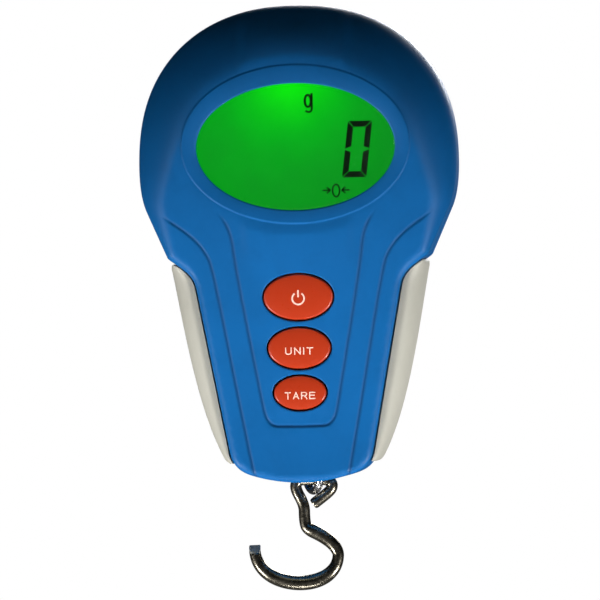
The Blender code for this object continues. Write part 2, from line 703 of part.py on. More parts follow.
def load_cell():
    """An aluminium block with two slots and a hole between them, which make it an S-shaped spring."""
    low = (-CELL_HALF_WIDTH, cell_front(), CELL_BOTTOM)
    cell = box("load_cell", ALUMINIUM, low, (CELL_HALF_WIDTH, cell_back(), CELL_TOP))
    cut(cell, box("upper_slot", None, (-15, -6, -30.5), (6, 8, -28.5)))
    cut(cell, box("lower_slot", None, (-6, -6, -45.5), (15, 8, -43.5)))
    cut(cell, cylinder("gauge_bore", None, 4.0, -6, 8, (0, -37.0)))
    for i, side in enumerate((-1, 1)):
        at = (side * CELL_SCREW[0], CELL_SCREW[1])
        cut(cell, cylinder(f"cell_hole_{i}", None, CELL_SCREW_HOLE, -6, 8, at, sides=16))
        profile = [(0.0, 1.6), (1.9, 1.6), (2.8, 0.9), (2.8, 0.0), (1.4, 0.0), (1.4, -13.6), (0.0, -13.9)]
        location = (at[0], cell_front() - GAP, at[1])
        turned(f"cell_screw_{i + 1}", STEEL, profile, location, (math.pi / 2, 0, 0), steps=14)
    cut(cell, cylinder("pin_hole", None, HANGER_PIN_HOLE, -6, 8, (LOAD_X, HANGER_PIN_Z), sides=20))
    for name, side, face in (("front", -1, cell_front()), ("rear", 1, cell_back())):
        near, far = face + side * GAP, face + side * (GAP + 0.7)
        outline = chamfered(-8.6, -5.0, -39.6, -34.4, 0.8)
        plate(f"gauge_pad_{name}", SILICONE, outline, min(near, far), max(near, far))


def hanger():
    """A steel U below the load cell, pinned to it, whose base carries the load eye."""
    half = 5.5
    outer_front, inner_front = -4.9, -3.5
    inner_back, outer_back = 5.5, 6.9
    low = (LOAD_X - half, outer_front, HANGER_BASE)
    bracket = box("hanger_bracket", STEEL, low, (LOAD_X + half, outer_back, HANGER_PIN_Z + 4.5))
    low = (LOAD_X - half - 1, inner_front, HANGER_BASE + 2.0)
    cut(bracket, box("bracket_inside", None, low, (LOAD_X + half + 1, inner_back, HANGER_PIN_Z + 9)))
    cut(bracket, cylinder("bracket_pin_holes", None, HANGER_PIN_HOLE, -8, 10, (LOAD_X, HANGER_PIN_Z), sides=20))
    at = (LOAD_X, LOAD_Y)
    cut(bracket, cylinder("bracket_eye_hole", None, SHANK_RADIUS + GAP, -78, -72, at, "Z", 20))
    profile = [(0.0, 2.0), (2.6, 2.0), (3.4, 1.2), (3.4, 0.0), (2.0, 0.0), (2.0, -13.2), (0.0, -13.2)]
    turned("hanger_pin", STEEL, profile, (LOAD_X, outer_back + GAP, HANGER_PIN_Z), (-math.pi / 2, 0, 0))
    ring = [(3.2, 0.35), (3.2, -0.35), (2.3, -0.35), (2.3, 0.35)]
    turned("pin_clip", STEEL, ring, (LOAD_X, outer_front - GAP - 0.35, HANGER_PIN_Z), (math.pi / 2, 0, 0), 20)


def load_eye():
    """The ring below the case, its shank, and the washer and nut that hang it on the bracket."""
    swivel = pivot("eye_swivel", (LOAD_X, LOAD_Y, EYE_Z))
    points = []
    for i in range(30):
        angle = 2 * math.pi * i / 30
        out = EYE_RADIUS * math.cos(angle)
        points.append((out * math.sin(EYE_TWIST), -out * math.cos(EYE_TWIST), EYE_RADIUS * math.sin(angle)))
    eye = tube("load_eye", STEEL, points, EYE_WIRE, closed=True)
    eye.location = Vector((LOAD_X, LOAD_Y, EYE_Z)) * MM
    eye.parent = swivel
    eye.location -= swivel.location
    at = (LOAD_X, LOAD_Y)
    ring_top = EYE_Z + EYE_RADIUS
    fuse(eye, cylinder("eye_shank", None, SHANK_RADIUS, ring_top - 0.7, SHANK_TOP, at, "Z", 16))
    smooth(eye, 50)
    washer = HANGER_BASE + 2.0 + GAP
    profile = [(4.4, 0.8), (4.4, 0.0), (SHANK_RADIUS + GAP, 0.0), (SHANK_RADIUS + GAP, 0.8)]
    turned("eye_washer", STEEL, profile, (*at, washer), steps=20, parent=swivel)
    nut_low = washer + 0.8 + GAP
    nut = cylinder("eye_nut", STEEL, 3.8, nut_low, nut_low + 3.0, at, "Z", 6, parent=swivel)
    cut(nut, cylinder("nut_bore", None, SHANK_RADIUS + GAP, nut_low - 1, nut_low + 4, at, "Z", 16))
    return swivel


def hook_route():
    """The hook's centreline in (x, z): cut end, eye, shank, bend, bowl and cut tip."""
    (left, right), top = HOOK_EYE, HOOK_TOP
    shank, bend, shoulder = (-0.5, -91.6), (-0.1, -95.6), (1.8, -96.95)
    bowl_start, bowl_bottom, bowl_end, tip = (8.15, -103.0), (-1.6, -110.4), (-13.65, -101.9), (-13.7, -100.3)
    points = bezier([(1.8, -89.95), (right - 0.7, -86.7), (right - 0.05, -86.2), (right, -85.0)], 6)
    points += bezier([(right, -85.0), (right - 0.2, top - 0.1), (right - 2.6, top)], 5)
    points += bezier([(right - 2.6, top), (3.0, top), (left + 1.9, top)], 2)
    points += bezier([(left + 1.9, top), (left + 0.1, top), (left, -85.2)], 5)
    points += bezier([(left, -85.2), (left + 0.1, -87.2), (-0.55, -88.8), shank], 6)
    points += bezier([shank, (-0.52, -94.6), bend], 4)
    points += bezier([bend, (0.3, -96.2), shoulder], 3)
    points += bezier([shoulder, (4.9, -98.5), (7.6, -100.4), bowl_start], 6)
    points += bezier([bowl_start, (8.15, -107.6), (3.9, -110.4), bowl_bottom], 9)
    points += bezier([bowl_bottom, (-7.9, -110.4), (-13.3, -107.2), bowl_end], 9)
    return points + [bowl_end, tip]


def hook_swell(route):
    """How many times thicker than the plain wire the hook is: it swells where the bowl lies level."""
    swell = []
    for i in range(len(route)):
        (x0, z0), (x1, z1) = route[max(i - 1, 0)], route[min(i + 1, len(route) - 1)]
        level = (x1 - x0) ** 2 / ((x1 - x0) ** 2 + (z1 - z0) ** 2)
        share = min(1.0, max(0.0, (HOOK_SWELL_Z - route[i][1]) / HOOK_SWELL_LENGTH))
        swell.append(1 + HOOK_SWELL / HOOK_WIRE * level * share)
    return swell


def hook(swivel):
    """A wire hook whose closed eye hangs in the load eye and slides round its wire."""
    swing = pivot("hook_swing", (LOAD_X, LOAD_Y, EYE_Z), (0, 0, EYE_TWIST))
    route = hook_route()
    obj = tube("hook", NICKEL, [(x, LOAD_Y, z) for x, z in route], HOOK_WIRE, swell=hook_swell(route))
    swing.parent = swivel
    swing.location -= swivel.location
    bpy.context.view_layer.update()
    obj.parent = swing
    obj.matrix_parent_inverse = swing.matrix_world.inverted()


# ---------------------------------------------------------------- battery

def batteries():
    """Two cells across the head, facing opposite ways, with a bridge at their left ends."""
    end = CELL_HALF_LENGTH
    profile = [(0.0, end), (1.9, end), (1.9, end - 1.0), (4.7, end - 1.2), (CELL_RADIUS, end - 1.75),
               (CELL_RADIUS, 0.35 - end), (CELL_RADIUS - 0.35, -end), (0.0, -end)]
    for name, z, side in zip(("upper", "lower"), CELL_HEIGHTS, (-1, 1)):
        rotation = (0, side * math.pi / 2, 0)
        cell = turned(f"battery_{name}", JACKET, profile, (side * CELL_SHIFT, CELL_Y, z), rotation, steps=20)
        smooth(cell, 40)
        contact_spring(f"spring_{name}", -side * SPRING_NEAR, -side * SPRING_FAR, z)
    plate_x = BAY_HALF_WIDTH - GAP
    inner_x = plate_x - CONTACT_THICKNESS
    low, high = CELL_HEIGHTS[1] - 4.4, CELL_HEIGHTS[0] + 4.4
    box("bridge_contact", STEEL, (-plate_x, 1.6, low), (-inner_x, 9.2, high))
    for name, z in (("negative", CELL_HEIGHTS[0]), ("positive", CELL_HEIGHTS[1])):
        contact = box(f"{name}_contact", STEEL, (inner_x, 1.6, z - 4.4), (plate_x, 9.2, z + 4.4))
        fuse(contact, box(f"{name}_tail", None, (inner_x, -3.2, z - 1.2), (plate_x, 2.0, z + 1.2)))


def contact_spring(name, start, end, z):
    """A conical spring of three turns between a cell's end and its contact."""
    turns, per_turn = 3, 8
    count = turns * per_turn
    points = []
    for i in range(count + 1):
        share = i / count
        angle = 2 * math.pi * i / per_turn
        radius = 2.2 + 1.6 * share  # 2.2 against the cell, 3.8 against the contact
        inward = math.copysign(0.5, end - start)
        x = start + inward + (end - start - 2 * inward) * share
        points.append((x, CELL_Y + radius * math.cos(angle), z + radius * math.sin(angle)))
    tube(name, STEEL, points, SPRING_WIRE)


def battery_door():
    """The door, its two upper tabs and its latch tongue, on the hinge line at its top edge."""
    hinge = pivot("door_hinge", (0, *DOOR_AXIS))
    low = (-BAY_HALF_WIDTH + GAP, REAR_DEPTH - DOOR_THICKNESS, BAY_BOTTOM + GAP)
    door = box("battery_door", BLUE, low, (BAY_HALF_WIDTH - GAP, REAR_DEPTH, BAY_TOP - GAP), parent=hinge)
    for i, x in enumerate(TAB_PLACES):
        fuse(door, box(f"tab_foot_{i}", None, (x - 2, 10.7, 16.9), (x + 2, 13.0, 18.4)))
        fuse(door, box(f"tab_tongue_{i}", None, (x - 2, 10.7, 17.6), (x + 2, 11.9, 20.4)))
    fuse(door, box("latch_tongue", None, (-5, 12.7, BAY_BOTTOM - 3.2), (5, 14.0, BAY_BOTTOM + 1.5)))


# ---------------------------------------------------------------- leads

def smooth_route(points, steps=3):
    """Points along a Catmull-Rom curve through the given ones."""
    padded = [points[0], *points, points[-1]]
    route = []
    for i in range(1, len(padded) - 2):
        p0, p1, p2, p3 = (Vector(p) for p in padded[i - 1:i + 3])
        for k in range(steps):
            t = k / steps
            route.append(
                0.5 * (2 * p1 + (p2 - p0) * t + (2 * p0 - 5 * p1 + 4 * p2 - p3) * t**2
                       + (3 * p1 - p0 - 3 * p2 + p3) * t**3)
            )
    route.append(Vector(points[-1]))
    return route


def leads():
    gauge = [(-6.8, -4.9, -33.6), (-5.2, -5.0, -30.5), (-1.2, -4.7, -26.0), (0.0, -4.6, -20.0),
             (0.0, -4.7, -13.0), (-1.5, -5.5, -9.5)]
    tube("gauge_lead", WHITE, smooth_route(gauge), 0.5)
    for name, mat, z in (("black", WIRE_BLACK, CELL_HEIGHTS[0]), ("red", WIRE_RED, CELL_HEIGHTS[1])):
        x = BAY_HALF_WIDTH - 0.55
        route = [(x, -4.1, z), (x - 0.3, -4.9, z - 0.6), (x - 2.2, -5.4, z - 1.6), (x - 4.6, -5.6, z - 1.4)]
        tube(f"battery_lead_{name}", mat, smooth_route(route), 0.5)


def build():
    front_case()
    rear_case()
    side_grip("left_grip", -1)
    side_grip("right_grip", 1)
    case_screws()
    window_lens()
    display()
    circuit_board()
    keys()
    load_cell()
    hanger()
    hook(load_eye())
    batteries()
    battery_door()
    leads()


build()
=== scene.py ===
"""Digital fish scale: the fine surfaces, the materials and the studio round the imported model.

Lengths here are in millimetres, in the model's own frame: the origin is the middle of the head, +X is to
the right as the display is read, +Y points out of the back and +Z points up. The helpers turn them into
metres.
"""

import json
import math
from collections import namedtuple

import bmesh
import bpy
import numpy as np
from mathutils import Matrix, Vector
from mathutils.geometry import delaunay_2d_cdt


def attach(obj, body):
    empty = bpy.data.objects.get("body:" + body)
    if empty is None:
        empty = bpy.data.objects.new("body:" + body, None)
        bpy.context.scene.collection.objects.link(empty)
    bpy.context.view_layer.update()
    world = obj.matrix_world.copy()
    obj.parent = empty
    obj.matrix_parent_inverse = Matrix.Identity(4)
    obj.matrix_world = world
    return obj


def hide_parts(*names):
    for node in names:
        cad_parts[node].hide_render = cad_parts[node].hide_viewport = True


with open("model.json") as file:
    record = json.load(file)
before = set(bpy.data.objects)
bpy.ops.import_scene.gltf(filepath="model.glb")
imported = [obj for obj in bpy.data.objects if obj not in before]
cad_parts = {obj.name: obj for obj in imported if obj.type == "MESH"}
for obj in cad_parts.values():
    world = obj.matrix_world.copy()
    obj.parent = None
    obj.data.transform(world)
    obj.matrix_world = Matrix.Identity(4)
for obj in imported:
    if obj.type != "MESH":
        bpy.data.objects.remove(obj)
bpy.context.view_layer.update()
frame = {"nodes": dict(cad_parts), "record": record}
NODES = frame["nodes"]
MM = 0.001
GAP = 0.3

# Case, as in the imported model
HEAD_HALF_WIDTH, HEAD_HEIGHT, HEAD_POWER = 41.5, 40.4, 2.25
CASE_BOTTOM, BOTTOM_RADIUS = -84.0, 43.0
FRONT_DEPTH, REAR_DEPTH = 16.5, 14.5
Edge = namedtuple("Edge", "reach fall power stretch")
FRONT_EDGE = Edge(11.4, 13.0, 1.5, 0.35)
REAR_EDGE = Edge(8.0, 7.0, 2.0, 0.0)
LOWER_EDGE = Edge(1.8, 1.5, 2.0, 0.0)
LOWER_EDGE_Z, HEAD_EDGE_Z, LEAST_EDGE = -34.0, 10.0, 0.5
SKIN = 1.2  # thickness of the fine front shell
REAR_WALL = 2.2
PARTING_CHAMFER = 0.3
OUTLINE_PITCH = 0.75
LOAD_X, LOAD_Y = 2.0, 1.0
OPENING_RADIUS = 7.4
NEAR_BOTTOM = -70.0  # below this the outline belongs to the bottom arc or its corners

# Display and keys
WINDOW_Z, WINDOW_HALF = 3.4, (25.9, 16.5)
BEZEL_Z, BEZEL_HALF = 4.1, (29.8, 20.7)
KEYS = (("power", -35.7, 9.0, 5.9), ("unit", -49.0, 8.1, 5.3), ("tare", -60.6, 6.8, 4.4))
KEY_GAP = 0.4
KEY_CROWN = 0.7
LCD_FACE = -12.3

KEY_HOLES = [((half_width + KEY_GAP, half_height + KEY_GAP), z) for _, z, half_width, half_height in KEYS]

# Back
CASE_SCREWS = ((19.0, 29.5), (-19.0, 29.5), (28.5, -22.5), (-28.5, -22.5), (13.0, -75.0), (-13.0, -75.0))
SCREW_SEAT, SCREW_BOSS, SCREW_HOLE, SCREW_WELL = 8.0, 4.2, 1.75, 3.0
BAY_HALF_WIDTH, BAY_BOTTOM, BAY_TOP, BAY_FLOOR, BAY_WALL = 26.6, -5.5, 18.7, -0.3, 1.4
CELL_RADIUS, CELL_Y, CELL_HEIGHTS, CELL_SHIFT = 5.25, 5.4, (12.2, 1.0), 3.35
DOOR_THICKNESS, DOOR_EDGE, DOOR_TABS = 2.0, 0.45, (-15, 15)

# Suspension
EYE_RADIUS, EYE_WIRE, EYE_Z, EYE_TWIST = 4.4, 1.05, -82.0, math.radians(28.0)
HOOK_WIRE, HOOK_TOP, HOOK_EYE = 1.5, -83.45, (-2.6, 6.9)
HOOK_SWELL, HOOK_SWELL_Z, HOOK_SWELL_LENGTH = 0.45, -94.5, 2.5

# Side grips
GRIP_TOP, GRIP_BOTTOM, GRIP_GAP = -26.6, -78.8, 0.45
GRIP_MIDDLE_Y, GRIP_HALF_DEPTH = -1.0, 13.2


# ---------------------------------------------------------------- studio

VIEW_YAW, VIEW_ROLL = math.radians(3.2), math.radians(1.16)
VIEW_AIM, VIEW_WIDTH = (0.45, -16.5, -36.5), 156.0
LENS, SENSOR = 800.0, 36.0
FLOOR_Z, FLOOR_HALF = -3.9, 6.0  # metres: so far below the hook that a view from below passes over it
# name, kind, place and aim in metres, watts and size; then a spot's cone in degrees, softness and stretch
LAMPS = []
for side in (-1, 1):
    LAMPS += [
        (f"key_{side}", "SPOT", (0.42 * side, -0.29, -0.36), (0, -0.016, -0.054), 15.6, 0.05, 14.2, 0.9, 2.6),
        (f"fill_{side}", "SPOT", (0.40 * side, -0.35, -0.02), (0, 0, -0.008), 2.6, 0.04, 7.4, 1.0, 2.6),
    ]
LAMPS += [
    ("overhead", "AREA", (-0.02, -0.42, 0.36), (0, 0, -0.08), 0.08, (0.28, 0.16)),
    ("glint", "SPOT", (-0.08, -0.42, 0.30), (0, 0, -0.055), 0.25, 0.012, 10, 1.0),
    ("hook_light", "AREA", (0.0, -0.17, -0.53), (0, 0, -0.110), 0.6, (0.22, 0.04)),
    ("rear", "AREA", (0.15, 0.60, 0.25), (0, 0, -0.03), 5.0, (0.4, 0.3)),
]
LAMP_COLORS = {"overhead": (1.0, 1.0, 0.7)}


def linked(name, data):
    """A new object in the scene."""
    obj = bpy.data.objects.new(name, data)
    bpy.context.scene.collection.objects.link(obj)
    return obj


def camera():
    data = bpy.data.cameras.new("camera")
    data.lens, data.sensor_width = LENS, SENSOR
    data.clip_start, data.clip_end = 0.5, 20.0
    obj = linked("camera", data)
    back = Vector((math.sin(VIEW_YAW), -math.cos(VIEW_YAW), 0))
    level = Vector((math.cos(VIEW_YAW), math.sin(VIEW_YAW), 0))
    right = level * math.cos(VIEW_ROLL) - Vector((0, 0, math.sin(VIEW_ROLL)))
    turn = Matrix((right, back.cross(right), back)).transposed().to_4x4()
    distance = VIEW_WIDTH * LENS / SENSOR * MM
    obj.matrix_world = Matrix.Translation(Vector(VIEW_AIM) * MM + back * distance) @ turn
    bpy.context.scene.camera = obj


def lamp(name, kind, location, aim, power, size, cone=None, blend=None, stretch=1):
    data = bpy.data.lights.new(name, kind)
    data.energy = power
    data.color = LAMP_COLORS.get(name, (1, 1, 1))
    if kind == "AREA":
        data.shape = "RECTANGLE"
        data.size, data.size_y = size
    else:
        data.shadow_soft_size, data.spot_size, data.spot_blend = size, math.radians(cone), blend
    obj = linked(name, data)
    obj.location = location
    obj.rotation_euler = (Vector(aim) - Vector(location)).to_track_quat("-Z", "Y").to_euler()
    obj.scale = (stretch, 1, 1)


def feed(tree, socket, value):
    """Links a socket to another, or sets its constant."""
    if isinstance(value, bpy.types.NodeSocket):
        tree.links.new(value, socket)
    else:
        socket.default_value = value


def add_node(tree, kind, inputs=(), **settings):
    node = tree.nodes.new(kind)
    for key, value in settings.items():
        setattr(node, key, value)
    for socket, value in dict(inputs).items():
        feed(tree, node.inputs[socket], value)
    return node


def studio():
    """The camera sees white, and the object sees a dim grey room that is brighter below."""
    bpy.context.scene.view_settings.view_transform = "Standard"
    world = bpy.data.worlds.new("studio")
    bpy.context.scene.world = world
    world.use_nodes = True
    tree = world.node_tree
    tree.nodes.clear()
    place = add_node(tree, "ShaderNodeTexCoord").outputs["Generated"]
    z = add_node(tree, "ShaderNodeSeparateXYZ", {"Vector": place}).outputs["Z"]
    height = add_node(tree, "ShaderNodeMapRange", {"Value": z, "From Min": -1.0}).outputs["Result"]
    ramp = add_node(tree, "ShaderNodeValToRGB", {"Fac": height})
    low, high = ramp.color_ramp.elements
    low.color, high.color, high.position = (0.55, 0.55, 0.54, 1), (0.03, 0.035, 0.035, 1), 0.62
    lit = add_node(tree, "ShaderNodeBackground", {"Color": ramp.outputs["Color"], "Strength": 0.20})
    seen = add_node(tree, "ShaderNodeBackground", {"Color": (1, 1, 1, 1)})
    camera_ray = add_node(tree, "ShaderNodeLightPath").outputs["Is Camera Ray"]
    mix = add_node(tree, "ShaderNodeMixShader", {0: camera_ray, 1: lit.outputs[0], 2: seen.outputs[0]})
    add_node(tree, "ShaderNodeOutputWorld", {"Surface": mix.outputs[0]})
    for settings in LAMPS:
        lamp(*settings)
    floor()


def floor():
    """A plain pale floor that glows only for the camera."""
    bm = bmesh.new()
    bmesh.ops.create_grid(bm, x_segments=2, y_segments=2, size=FLOOR_HALF)
    obj = linked("floor", finished("floor", bm))
    obj.location.z = FLOOR_Z
    pale = bpy.data.materials.new("floor_pale")
    pale.use_nodes = True
    tree = pale.node_tree
    path = add_node(tree, "ShaderNodeLightPath").outputs["Is Camera Ray"]
    glow = add_node(tree, "ShaderNodeMapRange", {"Value": path, "To Min": 0.08, "To Max": 0.9})
    looks = {"Base Color": (0.9, 0.9, 0.9, 1), "Roughness": 0.9, "Emission Color": (1, 1, 1, 1),
             "Emission Strength": glow.outputs["Result"]}
    for socket, value in looks.items():
        feed(tree, tree.nodes["Principled BSDF"].inputs[socket], value)
    obj.data.materials.append(pale)


def finished(name, bm, outward=False):
    """The mesh of a bmesh, which is freed."""
    if outward:
        bmesh.ops.recalc_face_normals(bm, faces=bm.faces)
    mesh = bpy.data.meshes.new(name)
    bm.to_mesh(mesh)
    bm.free()
    return mesh


# ---------------------------------------------------------------- materials

def srgb(red, green, blue):
    """A linear colour from 8-bit display values."""
    def channel(value):
        value /= 255.0
        return value / 12.92 if value <= 0.04045 else ((value + 0.055) / 1.055) ** 2.4
    return (channel(red), channel(green), channel(blue), 1.0)


def shaded(color, factor):
    return tuple(min(1.0, c * factor) for c in color[:3]) + (1.0,)


class Paint:
    """A procedural material on one Principled shader, in the model's own coordinates."""

    def __init__(self, name, **constants):
        self.material = bpy.data.materials.new(name)
        self.material.use_nodes = True
        self.tree = self.material.node_tree
        self.shader = self.tree.nodes["Principled BSDF"]
        self.place = self.add("ShaderNodeTexCoord").outputs["Object"]
        self.set(**constants)

    def add(self, kind, inputs=(), **settings):
        return add_node(self.tree, kind, inputs, **settings)

    def set(self, **values):
        """Values for the shader's sockets, named in lower case."""
        for socket, value in values.items():
            name = socket.replace("_", " ").title().replace("Ior", "IOR")
            feed(self.tree, self.shader.inputs[name], value)

    def noise(self, size, detail=2.0, roughness=0.5, stretch=(1, 1, 1), distortion=0.0):
        """Noise whose lumps are about size millimetres across, stretched along the axes."""
        place = self.place
        if stretch != (1, 1, 1):
            place = self.add("ShaderNodeMapping", {"Vector": place, "Scale": stretch}).outputs["Vector"]
        return self.add(
            "ShaderNodeTexNoise",
            {"Vector": place, "Scale": 1 / (size * MM), "Detail": detail, "Roughness": roughness,
             "Distortion": distortion},
        ).outputs["Fac"]

    def math(self, operation, *values):
        return self.add("ShaderNodeMath", enumerate(values), operation=operation).outputs[0]

    def span(self, value, low, high, to_low=0.0, to_high=1.0):
        """The value rescaled from one range to another and held within it."""
        ranges = {"Value": value, "From Min": low, "From Max": high, "To Min": to_low, "To Max": to_high}
        return self.add("ShaderNodeMapRange", ranges).outputs["Result"]

    def spread(self, value, to_low=0.0, to_high=1.0):
        """A noise's usual range stretched over another."""
        return self.span(value, 0.3, 0.7, to_low, to_high)

    def mix(self, factor, first, second):
        node = self.add("ShaderNodeMix", data_type="RGBA")
        for socket, value in (("Factor", factor), ("A", first), ("B", second)):
            feed(self.tree, node.inputs[socket], value)
        return node.outputs["Result"]

    def along(self, axis):
        return self.add("ShaderNodeSeparateXYZ", {"Vector": self.place}).outputs[axis]

    def bump(self, height, depth):
        """A bump whose full height is depth millimetres."""
        inputs = {"Height": height, "Distance": depth * MM, "Strength": 1.0}
        self.set(normal=self.add("ShaderNodeBump", inputs).outputs["Normal"])


def moulded(name, color, roughness, grain=0.35, depth=0.018, mottle=0.10, **constants):
    """Moulded plastic: a fine spark-eroded grain, faint flow marks and slightly uneven gloss."""
    paint = Paint(name, **constants)
    speck = paint.noise(grain * 4, 3.0, 0.7)
    flow = paint.spread(paint.noise(14.0, 3.0, 0.55, distortion=0.6))
    tone = paint.mix(flow, shaded(color, 1 - mottle), shaded(color, 1 + mottle))
    flecks = paint.span(speck, 0.35, 0.75, 0.0, 0.35)
    paint.set(base_color=paint.mix(flecks, tone, shaded(color, 1 + 2.2 * mottle)),
              roughness=paint.spread(speck, roughness - 0.06, roughness + 0.08))
    paint.bump(paint.noise(grain, 2.0, 0.6), depth)
    return paint


def paint_groove_shade(paint):
    """Painted shade: a darker blue in the grooves of the front shell, whose mesh says where they lie."""
    plain = paint.shader.inputs["Base Color"].links[0].from_socket
    groove = paint.add("ShaderNodeAttribute", attribute_name="groove").outputs["Fac"]
    paint.set(base_color=paint.mix(groove, plain, srgb(7, 72, 126)))


def legend_ink():
    paint = Paint("legend_ink")
    worn = paint.noise(0.5, 3.0, 0.6)
    paint.set(base_color=paint.mix(paint.spread(worn), srgb(252, 196, 176), srgb(255, 226, 212)),
              roughness=paint.spread(worn, 0.45, 0.6))
    return paint


def window_clear():
    paint = Paint("window_clear", transmission_weight=1.0, ior=1.46, base_color=(0.97, 1.0, 0.97, 1))
    paint.set(roughness=paint.spread(paint.noise(9.0, 3.0), 0.015, 0.04))
    return paint


def lcd_glass():
    """The display: lit from the middle of its top edge, through a slightly uneven light guide."""
    paint = Paint("lcd_glass", base_color=srgb(4, 30, 8), roughness=0.3, emission_strength=1.0,
                  specular_ior_level=0.2)
    source = paint.add("ShaderNodeVectorMath", {0: paint.place, 1: (-0.0012, LCD_FACE * MM, 0.0210)},
                       operation="DISTANCE").outputs["Value"]
    fade = paint.math("POWER", paint.math("DIVIDE", source, 0.0100), 2.0)
    glow = paint.math("DIVIDE", 0.66, paint.math("ADD", fade, 1.0))
    side = paint.span(paint.along("X"), -0.026, 0.026, 0.285, 0.225)
    cloud = paint.spread(paint.noise(7.0, 3.0), 0.96, 1.04)
    level = paint.math("MULTIPLY", paint.math("ADD", glow, side), cloud)
    ramp = paint.add("ShaderNodeValToRGB", {"Fac": level})
    dim, bright = ramp.color_ramp.elements
    dim.color, bright.color = (0.004, 0.0, 0.016, 1), (0.002, 1.0, 0.0, 1)
    ramp.color_ramp.elements.new(0.45).color = (0.0, 0.45, 0.009, 1)
    paint.set(emission_color=ramp.outputs["Color"])
    return paint


def glowing(name, patches, low, high, glow_patches, dim, bright, roughness, strength):
    """A patchy surface that glows unevenly; the patches are the numbers of a noise."""
    paint = Paint(name, roughness=roughness, emission_strength=strength)
    paint.set(base_color=paint.mix(paint.noise(*patches), low, high),
              emission_color=paint.mix(paint.noise(*glow_patches), dim, bright))
    return paint


def black_nickel():
    """Black nickel plate over drawn wire: dark, glossy, with fine draw lines and small dull patches."""
    paint = Paint("black_nickel", metallic=1.0)
    patch = paint.noise(1.6, 4.0, 0.6)
    lines = paint.noise(0.35, 3.0, 0.5, distortion=1.0)
    paint.set(base_color=paint.mix(paint.span(patch, 0.35, 0.7), srgb(124, 118, 104), srgb(164, 157, 141)),
              roughness=paint.math("ADD", paint.spread(patch, 0.2, 0.3), paint.spread(lines, 0.0, 0.06)))
    paint.bump(lines, 0.005)
    return paint


def cut_wire():
    """The sheared end of the wire: bare, dull, and scored by the cutter. Its light grey is partly the bare
    steel's own and partly painted brightness, lighter than the lamps make this face.
    """
    paint = Paint("cut_wire")
    scores = paint.noise(0.2, 4.0, 0.6, (0.15, 1, 1))
    paint.set(base_color=paint.mix(paint.spread(scores), srgb(205, 203, 190), srgb(232, 230, 216)),
              roughness=paint.spread(scores, 0.5, 0.65))
    paint.bump(scores, 0.02)
    return paint


def brushed(name, color, roughness, stretch):
    paint = Paint(name, metallic=1.0)
    lines = paint.noise(0.25, 4.0, 0.6, stretch)
    stain = paint.spread(paint.noise(5.0, 3.0, 0.6))
    paint.set(base_color=paint.mix(stain, shaded(color, 0.82), color),
              roughness=paint.math("ADD", paint.spread(lines, 0.0, 0.14), roughness))
    paint.bump(lines, 0.006)
    return paint


def board_green():
    """Solder mask with copper traces that run up and down under it."""
    paint = Paint("board_green", coat_weight=0.4, coat_roughness=0.15)
    lanes = paint.math("SINE", paint.math("MULTIPLY", paint.along("X"), 2600.0))
    broken = paint.span(paint.noise(5.0, 1.0, 0.5, (1, 1, 0.35)), 0.46, 0.5)
    trace = paint.math("MULTIPLY", paint.span(lanes, 0.35, 0.55), broken)
    paint.set(base_color=paint.mix(trace, srgb(14, 78, 40), srgb(34, 118, 60)),
              roughness=paint.spread(paint.noise(1.2), 0.32, 0.45))
    paint.bump(trace, 0.035)
    return paint


def battery_jacket():
    """A generic cell: a dark sleeve with a copper-coloured band at the plus end of each."""
    paint = Paint("battery_jacket", metallic=0.6)
    x = paint.along("X")
    between = sum(CELL_HEIGHTS) / 2 * MM
    upper = paint.span(paint.along("Z"), between - 0.0001, between)
    lower = paint.math("SUBTRACT", 1.0, upper)
    band = paint.math("ADD", paint.math("MULTIPLY", upper, paint.span(x, -0.0125, -0.0120, 1.0, 0.0)),
                      paint.math("MULTIPLY", lower, paint.span(x, 0.0120, 0.0125)))
    grime = paint.noise(3.0, 4.0, 0.6)
    sleeve = paint.mix(grime, srgb(38, 42, 50), srgb(54, 58, 68))
    paint.set(base_color=paint.mix(band, sleeve, srgb(190, 118, 66)),
              roughness=paint.spread(grime, 0.2, 0.34))
    return paint


# name: display colour, roughness, and what differs from plain moulding
PLASTICS = {
    "case_blue": ((11, 97, 163), 0.46, {"grain": 0.30, "depth": 0.014, "mottle": 0.07,
                                        "specular_ior_level": 0.2}),
    "grip_cream": ((187, 185, 173), 0.6, {"grain": 0.22, "depth": 0.02, "mottle": 0.03, "coat_weight": 0.04,
                                          "coat_roughness": 0.5}),
    "key_red": ((183, 53, 20), 0.33, {"grain": 0.25, "depth": 0.003, "mottle": 0.03}),
    "white_plastic": ((225, 225, 220), 0.45, {"mottle": 0.03}),
    "contact_rubber": ((60, 60, 62), 0.7, {"grain": 0.6}),
    "black_resin": ((22, 22, 24), 0.5, {"grain": 0.2}),
    "white_silicone": ((232, 232, 228), 0.6, {"grain": 1.0, "depth": 0.05}),
    "wire_red": ((180, 30, 28), 0.42, {"grain": 0.5}),
    "wire_black": ((28, 28, 30), 0.42, {"grain": 0.5}),
}


